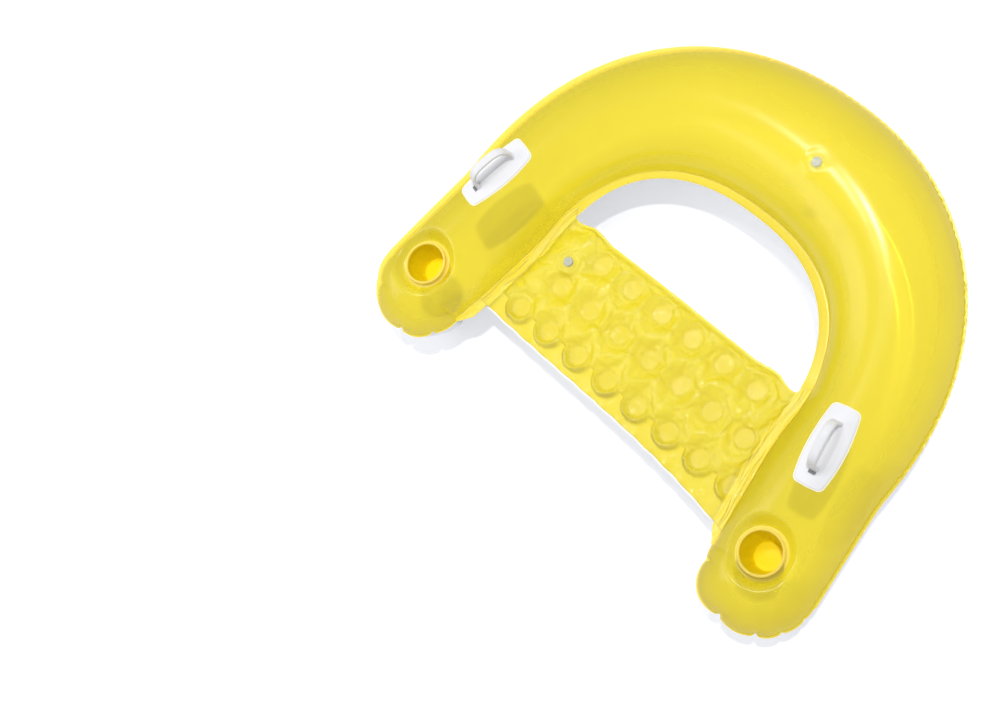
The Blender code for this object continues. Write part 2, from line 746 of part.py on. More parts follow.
def valve(word, centre, level, materials):
    """Neck with its weld flange, sliding stem, plug cap and inner check flap."""
    clear, grey = materials
    under = -SHEET - GAP
    neck = VALVE_NECK_RADIUS
    socket = [(VALVE_BORE_RADIUS, VALVE_PROUD), (neck, VALVE_PROUD), (neck, under),
              (VALVE_FLANGE_RADIUS, under), (VALVE_FLANGE_RADIUS, under - VALVE_FLANGE),
              (neck, under - VALVE_FLANGE), (neck, -VALVE_DEPTH), (VALVE_BORE_RADIUS, -VALVE_DEPTH)]
    turned(word + "_valve_neck", socket, centre, level, VALVE_STEPS, clear)
    slide = VALVE_BORE_RADIUS - GAP
    stem = [(STEM_BORE_RADIUS, VALVE_PROUD), (slide, VALVE_PROUD), (slide, -VALVE_DEPTH),
            (STEM_BORE_RADIUS, -VALVE_DEPTH)]
    turned(word + "_valve_stem", stem, centre, level, VALVE_STEPS, clear)
    lid = VALVE_PROUD + GAP
    cap = [(0, lid + CAP_LID), (CAP_RADIUS, lid + CAP_LID), (CAP_RADIUS, lid),
           (PLUG_TOP_RADIUS, lid), (PLUG_TOP_RADIUS, VALVE_PROUD),
           (PLUG_TIP_RADIUS, VALVE_PROUD - PLUG_LENGTH), (0, VALVE_PROUD - PLUG_LENGTH)]
    turned(word + "_valve_cap", cap, centre, level, VALVE_STEPS, grey,
           (CAP_RADIUS, lid + CAP_LID / 2))
    top = -VALVE_DEPTH - GAP
    flap = [(0, top), (FLAP_RADIUS, top), (FLAP_RADIUS, top - FLAP), (0, top - FLAP)]
    turned(word + "_valve_flap", flap, centre, level, VALVE_STEPS, clear, (FLAP_RADIUS, top))


PATH = tube_path()


def build():
    clear_scene()
    yellow = vinyl("yellow_vinyl", (0.86, 0.68, 0.03), 0.22)
    white = vinyl("white_vinyl", (0.85, 0.84, 0.87), 0.28)
    moulded = vinyl("white_moulding", (0.88, 0.88, 0.90), 0.35)
    clear = vinyl("clear_vinyl", (0.72, 0.74, 0.72), 0.15, 0.6)
    grey = vinyl("cap_vinyl", (0.60, 0.63, 0.62), 0.25, 0.8)
    tube_top_sheet(yellow)
    tube_bottom_sheet(white)
    seat_sheet("seat_top_sheet", False, yellow)
    seat_sheet("seat_bottom_sheet", True, white)
    for side, word in ((1, "right"), (-1, "left")):
        cup_parts(side, word, yellow)
        grab_handle(side, word, moulded)
    valve("tube", tube_valve_centre(), tube_valve_level(), (clear, grey))
    valve("seat", seat_valve_centre(), seat_valve_level(), (clear, grey))
    chair = bpy.data.objects.new("chair_frame", None)
    bpy.context.scene.collection.objects.link(chair)
    chair.location.y = -outline_middle()
    for item in list(bpy.context.scene.collection.objects):
        if item is not chair:
            item.parent = chair


def outline_middle():
    """Y of the middle of the chair's outline, under which the origin lies."""
    outline = tube_sheet_plan(False)[1]
    levels = [point[1] for point in outline]
    return (max(levels) + min(levels)) / 2


build()
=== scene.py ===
"""Looks of an inflatable pool chair, built round its packed frame.

Units are metres, +Z is up, +Y is towards the back of the chair. The chair lies on the
floor at Z = 0. Shapes are worked out in the chair's own plan, whose Y starts where the
straight arms meet the curved back, and are moved by CHAIR_SHIFT into the frame.
"""
import math

import bmesh
import bpy
import numpy as np
from bpy.props import FloatProperty, FloatVectorProperty, IntProperty, PointerProperty
from mathutils import Matrix, Vector


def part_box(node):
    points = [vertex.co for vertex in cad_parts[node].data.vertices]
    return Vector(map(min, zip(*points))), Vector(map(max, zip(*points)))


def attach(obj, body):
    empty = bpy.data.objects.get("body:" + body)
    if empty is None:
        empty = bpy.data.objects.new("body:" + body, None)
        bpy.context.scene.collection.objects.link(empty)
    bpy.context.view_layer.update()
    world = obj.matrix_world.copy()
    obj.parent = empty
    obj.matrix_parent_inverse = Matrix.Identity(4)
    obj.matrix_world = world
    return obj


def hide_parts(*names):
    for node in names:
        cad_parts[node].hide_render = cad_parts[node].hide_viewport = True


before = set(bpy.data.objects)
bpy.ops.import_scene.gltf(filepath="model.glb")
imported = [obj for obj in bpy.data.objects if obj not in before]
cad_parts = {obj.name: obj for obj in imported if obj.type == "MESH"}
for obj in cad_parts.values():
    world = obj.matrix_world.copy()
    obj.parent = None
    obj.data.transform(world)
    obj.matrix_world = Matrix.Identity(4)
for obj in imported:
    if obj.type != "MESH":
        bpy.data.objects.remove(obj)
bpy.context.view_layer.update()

bl_info = {
    "name": "Inflatable Pool Chair",
    "version": (1, 0, 0),
    "blender": (4, 5, 0),
    "location": "View3D > Sidebar > Pool Chair",
    "description": "Skins, cup pockets, grab handles and air valves of a pool chair",
    "category": "Object",
}

# Float tube, as in the frame
ARM_SPREAD, ARM_LENGTH = 0.4595, 0.257
ARM_SPLAY, SPLAY_EASE = 0.0425, 0.15
BACK_DEPTH, BACK_POWER = 0.456, 2.23
ARM_RADIUS, ARM_END_RADIUS, BACK_RADIUS = 0.115, 0.112, 0.138
SEAM_HEIGHT, END_HEIGHT_SHARE = 0.120, 0.88
OUTER_FLANGE, TIP_FLANGE, INNER_FLANGE, INNER_FLANGE_LIFT = 0.009, 0.0065, 0.026, 0.008
TUBE_WELD = 0.00055
# Cup pockets
CUP_STATION, CUP_INSET = 0.86, 0.005
CUP_RING_HEIGHT, CUP_RING_RADIUS, CUP_DIMPLE_RADIUS = 0.074, 0.053, 0.078
CUP_WALL_RADIUS, CUP_WALL = 0.0455, 0.0012
# Seat panel
SEAT_FRONT, SEAT_REAR = 0.224, 0.067
FRONT_BEND = (-0.2386, -0.07899, -0.017645, -0.213746)
SEAT_FRONT_STRIP, SEAT_REAR_STRIP = 0.012, 0.008
SEAT_SIDE_INSET, SEAT_SHOULDER_INSET, SEAT_BLEND = 0.003, 0.029, 0.020
# The panel is at its fullest this far from a weld, and its points move no further than this
SEAT_WELD_LIFT, FULL_AWAY, FURTHEST_MOVE = 0.0007, 0.033, 0.022
# Creases along the panel's side welds: distance from the edge, height, width
SIDE_FOLDS = ((0.004, 0.0013, 0.0014), (0.009, -0.0010, 0.0013), (0.0135, 0.0013, 0.0012),
              (0.018, -0.0009, 0.0013), (0.0225, 0.0012, 0.0012), (0.027, -0.0009, 0.0014))
# Bulge of the film between the front edge's weld and the front discs: height and width
LIP_HEIGHT, LIP_WIDTH = 0.0045, 0.0145
REAR_KNOTS = (0, 0.205, 0.237, 0.262, 0.282, 0.298, 0.311, 0.320, 0.326, 0.40)
REAR_RISES = (-0.003, -0.0045, 0.001, 0.0025, -0.005, -0.0085, -0.007, 0.004, 0.015, 0.015)
DISC_RADIUS, DISC_PITCH, DISC_ROW_SPACING = 0.022, 0.0876, 0.0894
DISC_MIDDLE_X, DISC_MIDDLE_Y, DISC_COUNTS = 0.0284, -0.0736, (8, 7, 6)
# Grab handles
HANDLE_Y, HANDLE_OUT, HANDLE_DRIFT, HANDLE_STAGGER = 0.0195, 0.0075, 0.0085, 0.0065
HANDLE_DEGREES, PLATE_LENGTH, PLATE_END, PLATE_MIDDLE = 12, 0.170, 0.060, 0.080
GRIP_FOOT, GRIP_RISE, GRIP_DRIFT, GRIP_DEPTH = 0.048, 0.046, 0.005, 0.008
# Valves
VALVE_PAD_RADIUS, VALVE_NECK_RADIUS = 0.022, 0.012

# Notches of the weld round an arm's end: degrees from the outer side, depth, lobe after it
RIGHT_TIP_NOTCHES = ((164, 0.9, 0.0150), (107, 1.0, 0.0035), (66, 0.9, 0.0030),
                     (40, 0.35, 0.0015), (15, 0.25, 0.0008))
LEFT_TIP_NOTCHES = ((12, 0.3, 0.0025), (45, 0.5, 0.0070), (109, 1.0, 0.0050), (149, 0.8, 0.0020))
# How far the blown-up walls stand out beside the weld, outside and inside the horseshoe
FULL_SIDE, FULL_INSIDE = 0.0035, 0.0045
# Radius of the panel's bulges round the front discs
FRONT_LOBE = 0.0365
# Inner share of the panel's width on the wide grid, and the columns of each side strip
STRIP_SHARE, STRIP_COLUMNS = 0.915, 30
SLOT_FORWARD, SLOT_LENGTH, SLOT_WIDTH, SLOT_SHIFT = 0.0558, 0.0075, 0.0155, -0.0010

# Levels and holes that follow from these
SEAM_TOP = SEAM_HEIGHT + TUBE_WELD
CUP_LEVEL = SEAM_TOP + CUP_RING_HEIGHT
CUP_HOLE_RADIUS = CUP_WALL_RADIUS - CUP_WALL / 2
VALVE_HOLE_RADIUS = VALVE_NECK_RADIUS - 0.0006
FOLD_END = SEAT_REAR + 0.05

# Grid of the tube's skins
STATIONS, FAN_STEPS = 520, 120
FLANGE_SHARES = (1.0, 0.86, 0.72, 0.58, 0.44, 0.3, 0.15)
EMBOSS, LEAST_FLANGE = 0.0006, 0.0025
WALL_DEGREES = np.r_[0, 1.4, 2.9, 4.6, 6.5, 8.6, 11, 13.6, 16.4, np.linspace(19.5, 90, 25)]


def middle_of(node):
    low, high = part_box(node)
    return (low + high) / 2


CHAIR_SHIFT = middle_of("cup_floor_right").y + ARM_LENGTH * CUP_STATION


# Shader building

def adding(operation, swapped=False):
    """A Python operator on measures that adds the Math node of an operation."""
    def act(self, other):
        values = (other, self) if swapped else (self, other)
        return self.finish.node("ShaderNodeMath", {"operation": operation},
                                dict(enumerate(values)))
    return act


class Measure:
    """A value of a finish. Sums, products and powers of it add the Math nodes they need."""

    def __init__(self, finish, socket):
        self.finish, self.socket = finish, socket

    __add__ = __radd__ = adding("ADD")
    __mul__ = __rmul__ = adding("MULTIPLY")
    __sub__, __rsub__ = adding("SUBTRACT"), adding("SUBTRACT", swapped=True)
    __truediv__, __rtruediv__ = adding("DIVIDE"), adding("DIVIDE", swapped=True)
    __pow__, __rpow__ = adding("POWER"), adding("POWER", swapped=True)
    larger = adding("MAXIMUM")

    def size(self):
        return self.finish.node("ShaderNodeMath", {"operation": "ABSOLUTE"}, {0: self})

    def eased(self, low, high):
        """0 at low, 1 at high and smooth between them."""
        return self.finish.node("ShaderNodeMapRange", {"interpolation_type": "SMOOTHSTEP"},
                                {"Value": self, "From Min": low, "From Max": high})


class Finish:
    """A material whose nodes all come from one method."""

    def __init__(self, name):
        self.material = bpy.data.materials.new(name)
        self.material.use_nodes = True
        self.tree = self.material.node_tree
        self.tree.nodes.clear()

    @classmethod
    def on(cls, tree):
        """The same methods on the nodes of a world."""
        finish = cls.__new__(cls)
        finish.tree = tree
        tree.nodes.clear()
        return finish

    def node(self, kind, settings=None, sockets=None, out=0):
        """Add a node: its settings first, then the values or links of its sockets."""
        made = self.tree.nodes.new(kind)
        for name, value in (settings or {}).items():
            setattr(made, name, value)
        for name, value in (sockets or {}).items():
            if isinstance(value, Measure):
                self.tree.links.new(value.socket, made.inputs[name])
            else:
                made.inputs[name].default_value = value
        return Measure(self, made.outputs[out]) if made.outputs else made

    def painted(self, name):
        """A mask or a distance that the mesh carries."""
        return self.node("ShaderNodeAttribute", {"attribute_name": name}, out=2)

    def noise(self, scale, detail=2.0, distortion=0.0):
        """Noise in the piece's own space."""
        place = self.node("ShaderNodeTexCoord", out=3)
        return self.node("ShaderNodeTexNoise", {}, {"Vector": place, "Scale": scale,
                                                    "Detail": detail, "Distortion": distortion})

    def ridge(self, *noise):
        """Sharp lines where a noise crosses its middle."""
        return 1 - (self.noise(*noise) * 2 - 1).size()

    def blend(self, mask, first, second):
        """First colour where the mask is 0, second where it is 1."""
        return self.node("ShaderNodeMix", {"data_type": "RGBA"}, {0: mask, 6: first, 7: second},
                         out=2)

    def looked_at(self):
        """1 for a ray from the camera, or one that is mirrored or let through on its way."""
        camera, glossy, through = (self.node("ShaderNodeLightPath", out=out) for out in (0, 3, 6))
        return camera.larger(glossy).larger(through)

    def bump(self, height, distance, strength=1.0):
        return self.node("ShaderNodeBump", {}, {"Height": height, "Distance": distance,
                                                "Strength": strength})

    def gloss(self, colour, rough, normal, **others):
        """The main shader, with the values of its other sockets."""
        sockets = {word.replace("_", " "): value for word, value in others.items()}
        return self.node("ShaderNodeBsdfPrincipled", {}, {
            "Base Color": colour, "Roughness": rough, "Normal": normal, **sockets})

    def plain(self, kind, colour, **sockets):
        """A simple shader of one colour."""
        return self.node("ShaderNode" + kind, {}, {"Color": rgba(colour), **sockets})

    def mixed(self, share, first, second):
        """First shader where the share is 0, second where it is 1."""
        return self.node("ShaderNodeMixShader", {}, {"Fac": share, 1: first, 2: second})

    def close(self, shader):
        self.node("ShaderNodeOutputMaterial", {}, {"Surface": shader})
        return self.material


def rgba(colour):
    return (colour[0], colour[1], colour[2], 1.0)


# Depth of the bump's relief on film, mouldings and valves
FILM_BUMP, MOULDING_BUMP, VALVE_BUMP = 0.0016, 0.0009, 0.0006
# Rings stamped by a disc's weld: radius and height; and their width
STAMPED_RINGS = ((DISC_RADIUS - 0.0035, 0.30), (DISC_RADIUS - 0.0012, -0.35))
STAMP_WIDTH = 0.0011
# Clarity, refraction index and roughness of the cup pockets' walls and floors
CUP_GLOSS, CUP_FLOOR_GLOSS = (0.45, 1.5, 0.22), (0.05, 1.4, 0.3)
# Clarity of the valves and of their caps
VALVE_CLARITY, CAP_CLARITY = 0.85, 0.5
# The slot colour is painted shade for the hole in a handle's plate.
MOULDING_CLOUD, SLOT_SHADE_COLOUR = (0.68, 0.68, 0.71), (0.16, 0.16, 0.17)
VALVE_CLOUD, CLEAR = (0.46, 0.50, 0.49), (1.0, 1.0, 1.0)
RIB_PITCH = 0.0021


def film_colour(finish, look, paint, shade, cloud, stamped):
    """Yellow with clouds, paler at welds and deeper where sheets lie double, with painted shade
    in crinkled folds, on the tube's low outer walls, on the backs of the cup walls and under the
    shade mask.
    """
    colour = finish.blend(cloud * 0.5, rgba(paint), rgba(shade))
    # Painted shade: patches of the deeper shade colour on the crinkled film beside the seat.
    fold = finish.noise(46.0, 3.0, 1.2).eased(0.42, 0.62)
    layers = [(finish.painted("crinkle") * fold * 0.45, shade),
              (finish.painted("weld") * 0.75, look.pale),
              # Painted shade: the dark back of a cup's wall.
              (finish.painted("outside") * 0.85, look.sleeve_back_shade),
              # Painted shade on the tube's low outer walls; the doubled colour is the film's own.
              (finish.painted("wall"), look.wall), (finish.painted("closed"), look.doubled)]
    if stamped:
        inside = 1 - finish.painted("disc").eased(DISC_RADIUS - 0.002, DISC_RADIUS + 0.001)
        layers.append((inside * 0.6, look.doubled))
    # Last comes painted shade: the deep colour wherever the shade mask is set.
    for mask, tone in layers + [(finish.painted("painted_shade"), look.painted_shade_colour)]:
        colour = finish.blend(mask, colour, rgba(tone))
    return colour


def film_relief(finish, look, stamped):
    """Ripples and grain, crinkles beside the seat, wrinkles and stamped rings on it."""
    height = (finish.noise(30.0, 2.0, 0.4) * 0.30 + finish.noise(420.0, 2.0) * 0.012
              + finish.painted("crinkle") * (finish.ridge(75.0, 4.0, 1.6) ** 3)
              * look.crinkle_depth)
    height = height + finish.painted("weld") * finish.noise(190.0, 1.0) * 0.08
    if stamped:
        height = height + (finish.ridge(62.0, 1.5, 2.6) ** 5) * look.wrinkle_depth
        for place, high in STAMPED_RINGS:
            band = (finish.painted("disc") - place) / STAMP_WIDTH
            height = height + 2.718 ** (0 - band * band) * high
    return finish.bump(height, FILM_BUMP, look.film_relief)


def film_finish(name, look, paint, shade, clarity, index, spread, stamped=False):
    """Soft sheet vinyl: glossy, slightly seen through, paler where two sheets are welded."""
    finish = Finish(name)
    cloud = finish.noise(2.6, 3.0).eased(0.35, 0.7)
    surface = finish.gloss(film_colour(finish, look, paint, shade, cloud, stamped),
                           spread + cloud * 0.03 + finish.painted("weld") * 0.06,
                           film_relief(finish, look, stamped), IOR=index)
    # Painted shade also makes the film less clear, so the painted dark stays dark.
    clear = (1 - finish.painted("closed")) * (1 - finish.painted("painted_shade") * 0.85) * clarity
    return finish.close(finish.mixed(clear, surface,
                                     finish.plain("BsdfTransparent", look.tint)))


def plain_film_finish(name, look, paint, shade):
    """The white under sheet, which light doesn't pass."""
    finish = Finish(name)
    cloud = finish.noise(3.0, 3.0).eased(0.3, 0.7)
    height = (finish.noise(34.0, 2.0, 0.5) * 0.3
              + finish.painted("weld") * finish.noise(190.0, 1.0) * 0.1)
    return finish.close(finish.gloss(
        finish.blend(cloud * 0.6, rgba(paint), rgba(shade)), 0.28 + cloud * 0.08,
        finish.bump(height, FILM_BUMP, look.film_relief), Coat_Weight=0.3,
        Coat_Roughness=0.12))


def moulding_finish(name, paint, edge):
    """Stiff white moulding with a faint moulded grain and finger ribs on the grip."""
    finish = Finish(name)
    cloud = finish.noise(14.0, 3.0)
    colour = finish.blend(cloud * 0.35, rgba(paint), rgba(MOULDING_CLOUD))
    colour = finish.blend(finish.painted("rim"), colour, rgba(edge))
    # Painted shade: the slot's middle is painted near black.
    colour = finish.blend(finish.painted("slot"), colour, rgba(SLOT_SHADE_COLOUR))
    ribs = finish.node("ShaderNodeMath", {"operation": "SINE"},
                       {0: finish.painted("along") * (2 * math.pi / RIB_PITCH)})
    height = finish.noise(600.0, 2.0) * 0.1 + finish.painted("ribbed") * ribs * 0.22
    return finish.close(finish.gloss(colour, 0.34 + cloud * 0.1,
                                     finish.bump(height, MOULDING_BUMP, 0.8),
                                     Coat_Weight=0.15, Coat_Roughness=0.2))


def valve_finish(name, paint, clarity):
    """Clear soft moulding of a valve, cloudy where it is thick."""
    finish = Finish(name)
    cloud = finish.noise(160.0, 3.0)
    surface = finish.gloss(finish.blend(cloud, rgba(paint), rgba(VALVE_CLOUD)),
                           0.14 + cloud * 0.2, finish.bump(cloud, VALVE_BUMP, 0.5),
                           Coat_Weight=0.6, Coat_Roughness=0.06)
    return finish.close(finish.mixed(clarity, surface, finish.plain("BsdfTransparent", CLEAR)))


# Meshes

def add_piece(name, points, faces, material, body="chair", masks=None):
    """A mesh given in the chair's plan, placed in the frame, that rides on a body."""
    mesh = bpy.data.meshes.new(name)
    shifted = np.asarray(points, float) + (0.0, CHAIR_SHIFT, 0.0)
    mesh.from_pydata(shifted.tolist(), [], [tuple(map(int, face)) for face in faces])
    for word, values in (masks or {}).items():
        held = mesh.attributes.new(word, "FLOAT", "POINT")
        held.data.foreach_set("value", np.asarray(values, np.float32).ravel())
    mesh.materials.append(material)
    mesh.shade_smooth()
    item = bpy.data.objects.new(name, mesh)
    bpy.context.scene.collection.objects.link(item)
    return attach(item, body)


def edit(item, change):
    """Run a bmesh change on a piece's mesh."""
    bm = bmesh.new()
    bm.from_mesh(item.data)
    change(bm)
    bm.to_mesh(item.data)
    bm.free()
    item.data.shade_smooth()


def grid_faces(rows, columns, closed=False):
    """Quads of a grid of points, whose rows may close into a loop."""
    last = rows if closed else rows - 1
    first = np.arange(last)[:, None] * columns + np.arange(columns - 1)[None, :]
    after = (np.arange(last)[:, None] + 1) % rows * columns + np.arange(columns - 1)[None, :]
    return np.stack([first, after, after + 1, first + 1], axis=-1).reshape(-1, 4)


def ring_faces(rows, columns, capped=True):
    """Quads between closed rings of points, and one face that fills the last ring."""
    around = [(k, (k + 1) % columns) for k in range(columns)]
    faces = [(row * columns + k, row * columns + after, (row + 1) * columns + after,
              (row + 1) * columns + k) for row in range(rows - 1) for k, after in around]
    if capped:
        faces.append(tuple((rows - 1) * columns + k for k in range(columns)))
    return faces


def smooth(share):
    """Ease from 0 to 1."""
    share = np.clip(share, 0.0, 1.0)
    return share * share * (3 - 2 * share)


def bell(off, width):
    """1 at the middle, dying out at a width on both sides."""
    return np.exp(-(off / width) ** 2)


def distance(x, y, centre):
    return np.hypot(x - centre[0], y - centre[1])


def path_length(points):
    """Length along a path at each of its points."""
    return np.r_[0, np.cumsum(np.linalg.norm(np.diff(points, axis=0), axis=1))]


def along_path(even, run, points):
    """Points of a path at even lengths along it."""
    return np.c_[np.interp(even, run, points[:, 0]), np.interp(even, run, points[:, 1])]


# Float tube

def tube_line():
    """Even stations from the right arm's end to the left one: place, outward way, radius."""
    share = np.linspace(1, 0, 80, endpoint=False)
    arm = np.c_[ARM_SPREAD + ARM_SPLAY * share * share / (share + SPLAY_EASE),
                -ARM_LENGTH * share]
    turn = np.linspace(0, math.pi / 2, 400)
    back = np.c_[ARM_SPREAD * np.cos(turn).clip(0) ** (2 / BACK_POWER),
                 BACK_DEPTH * np.sin(turn) ** (2 / BACK_POWER)]
    half = np.vstack([arm, back])
    points = np.vstack([half, (half[:-1] * (-1, 1))[::-1]])
    run = path_length(points)
    place = along_path(np.linspace(0, run[-1], STATIONS), run, points)
    along = np.gradient(place, axis=0)
    along /= np.linalg.norm(along, axis=1)[:, None]
    back_share = np.clip(place[:, 1] / BACK_DEPTH, 0, 1)
    arm_share = np.clip(-place[:, 1] / ARM_LENGTH, 0, 1)
    radius = (ARM_RADIUS + (BACK_RADIUS - ARM_RADIUS) * back_share ** 2
              + (ARM_END_RADIUS - ARM_RADIUS) * arm_share ** 2)
    crest = radius * (1 - (1 - END_HEIGHT_SHARE) * arm_share ** 2)
    return place, np.c_[along[:, 1], -along[:, 0]], radius, crest


PLACE, OUTWARD, RADIUS, CREST = tube_line()


def side_x(y, extra):
    """X of a line that runs inside the right arm's inner seam, at a distance from it."""
    line = (PLACE - OUTWARD * (RADIUS + extra)[:, None])[:STATIONS * 2 // 5]
    return np.interp(y, line[:, 1], line[:, 0])


def tube_height(x, y):
    """Height of the upper skin over the seam plane at places well inside the seams."""
    x, y = np.asarray(x, float), np.asarray(y, float)
    off = (x[..., None] - PLACE[:, 0]) ** 2 + (y[..., None] - PLACE[:, 1]) ** 2
    near = off.argmin(-1)
    share = np.take_along_axis(off, near[..., None], -1)[..., 0] / RADIUS[near] ** 2
    return CREST[near] * np.sqrt(np.clip(1 - share, 0, 1))


def cup_centre(side):
    spread = ARM_SPREAD + ARM_SPLAY * CUP_STATION ** 2 / (CUP_STATION + SPLAY_EASE)
    return np.array([side * (spread - CUP_INSET), -ARM_LENGTH * CUP_STATION])


# Crescent of shade in front of a cup: its way and reach, and its strength on each side
CUP_SHADE_WAY, CUP_SHADE_REACH = (0.52, -0.854), 0.0155
CUP_SHADE_STRENGTH = {1: 0.9, -1: 0.3}


def cup_shade(points, side):
    """Painted shade: a dark crescent in front of a cup, standing in for the shade of its wall
    seen through the film.
    """
    way = points[..., :2] - cup_centre(side)
    off = np.linalg.norm(way, axis=-1)
    front = way @ CUP_SHADE_WAY / np.maximum(off, 1e-6) - 0.05
    edge = CUP_WALL_RADIUS + CUP_SHADE_REACH * smooth(front / 0.75)
    outside = smooth((off - CUP_WALL_RADIUS) / 0.001)
    return (CUP_SHADE_STRENGTH[side] * outside * smooth((edge - off) / 0.003)
            * smooth(front / 0.3))


class Ribs:
    """Half sections of the tube round its whole seam, each from the weld up to the crest."""

    def __init__(self):
        turn = np.linspace(0, math.pi, FAN_STEPS + 2)[1:-1]
        fans = []
        for end, sense in ((-1, -1.0), (0, 1.0)):
            out = OUTWARD[end]
            ahead = np.array([out[1], -out[0]]) * sense
            fans.append(out * np.cos(turn)[:, None] + ahead * np.sin(turn)[:, None])
        left, right = fans[0], fans[1][::-1]
        ends = [np.repeat(PLACE[[end]], FAN_STEPS, axis=0) for end in (-1, 0)]
        self.place = np.vstack([PLACE, ends[0], PLACE[::-1], ends[1]])
        self.toward = np.vstack([OUTWARD, left, -OUTWARD[::-1], right])
        self.radius, self.crest = self.joined(RADIUS), self.joined(CREST)
        self.count = len(self.place)
        zone = np.r_[np.zeros(STATIONS), np.ones(FAN_STEPS), np.full(STATIONS, 2),
                     np.ones(FAN_STEPS)]
        self.turn = np.degrees(np.r_[np.zeros(STATIONS), turn, np.zeros(STATIONS), turn[::-1]])
        self.inner, self.fan, self.outer = zone == 2, zone == 1, zone == 0
        self.seam = self.place + self.toward * self.radius[:, None]
        step = np.linalg.norm(np.diff(np.vstack([self.seam, self.seam[:1]]), axis=0), axis=1)
        self.run = np.r_[0, np.cumsum(step)[:-1]]
        self.length = step.sum()
        beyond = np.clip((-self.place[:, 1] - SEAT_FRONT) / (ARM_LENGTH - SEAT_FRONT), 0, 1)
        wide = INNER_FLANGE + (OUTER_FLANGE - INNER_FLANGE) * beyond
        self.flange = np.where(self.inner, wide, np.where(self.fan, TIP_FLANGE, OUTER_FLANGE))
        edge = self.place[:, 1] + self.toward[:, 1] * (self.radius + self.flange)
        rise = np.clip((edge - SEAT_REAR - 0.009) / BACK_RADIUS, 0, 1)
        self.rise = np.where(self.inner, INNER_FLANGE_LIFT * rise, 0.0)

    @staticmethod
    def joined(values):
        ends = [np.full(FAN_STEPS, values[end]) for end in (-1, 0)]
        return np.r_[values, ends[0], values[::-1], ends[1]]


class Folds:
    """Creases that start at the weld and die out up the wall, with the skin full between."""

    def __init__(self, ribs, sizes):
        rng = np.random.default_rng(sizes.fold_seed)
        at, y = ribs.run, ribs.seam[:, 1]
        beside_seat = ribs.inner * smooth((FOLD_END - y) / 0.03)
        self.loose = 1 - 0.85 * beside_seat
        bend = smooth((y + 0.02) / 0.10)

        def measure(outer, inner, at_seat):
            value = np.where(ribs.outer, outer, inner)
            return value + (at_seat - value) * beside_seat

        pitch = measure(sizes.pucker_pitch, 0.034, 0.038)
        depth = measure(sizes.pucker_depth * (0.35 + 0.65 * bend), 0.0002, sizes.pleat_depth)
        reach = measure(0.016, 0.010, 0.040)
        rows, place = [], 0.004
        while place < ribs.length - 0.006:
            if np.interp(place, at, ribs.fan) < 0.01:
                rows.append((place, np.interp(place, at, depth) * rng.uniform(0.45, 1.25),
                             np.interp(place, at, reach) * rng.uniform(0.6, 1.5), 0.0,
                             rng.uniform(-1, 1)))
            place += float(np.interp(place, at, pitch)) * rng.uniform(0.72, 1.28)
        for side, notches in ((1, RIGHT_TIP_NOTCHES), (-1, LEFT_TIP_NOTCHES)):
            here = np.flatnonzero(ribs.fan & (ribs.place[:, 0] * side > 0))
            order = here[np.argsort(ribs.turn[here])]
            for turn, share, lobe in notches:
                place = float(np.interp(turn, ribs.turn[order], at[order]))
                rows.append((place, sizes.tip_depth * share, 0.022, lobe, 0.3 * share))
        rows = np.array(sorted(rows))
        self.marks, self.depth, self.reach, self.lobe, self.sway = rows.T
        middles = (self.marks[1:] + self.marks[:-1]) / 2
        self.nearest = np.searchsorted(middles, at)
        self.off = at - self.marks[self.nearest]
        above = np.clip(np.searchsorted(self.marks, at), 1, len(rows) - 1)
        low, high = self.marks[above - 1], self.marks[above]
        self.share = np.clip((at - low) / (high - low), 0, 1)
        self.between = above - 1
        self.width = np.where(ribs.fan, 0.0036, 0.0034)
        self.fan = ribs.fan

    def wall(self, arc):
        """Movement of the wall along its own way out, at distances up from the weld."""
        near = self.nearest
        lean = self.off[:, None] - self.sway[near][:, None] * arc * 0.25
        line = bell(lean, self.width[:, None] + arc * 0.12)
        fade = np.exp(-(arc / self.reach[near][:, None]) ** 1.4)
        full = np.sin(math.pi * self.share)[:, None]
        depth = np.where(self.fan, 0.0, self.depth[near] * 0.55)[:, None]
        lobe = self.lobe[self.between][:, None] * full * bell(arc, 0.050)
        return depth * full * bell(arc, 0.016) + lobe - self.depth[near][:, None] * line * fade

    def edge(self):
        """Waves of the free edge of the weld: how far it moves out, and how far up."""
        notch = bell(self.off, self.width * 0.9)
        full = np.sin(math.pi * self.share)
        depth = self.depth[self.nearest]
        lobe = self.lobe[self.between] * full
        out = np.where(self.fan, lobe * 1.15 - depth * notch * 1.25,
                       depth * (0.15 * full - 0.3 * notch))
        wave = np.where(self.fan, -0.5 * notch, notch * 0.9 - 0.3 * full)
        return out, self.loose * depth * self.sway[self.nearest] * wave


def dimpled(x, y, z, centre, flat_radius, blend, level):
    """Heights pulled level round a fitting, blending into the skin's own shape."""
    return level + (z - level) * smooth((distance(x, y, centre) - flat_radius) / blend)


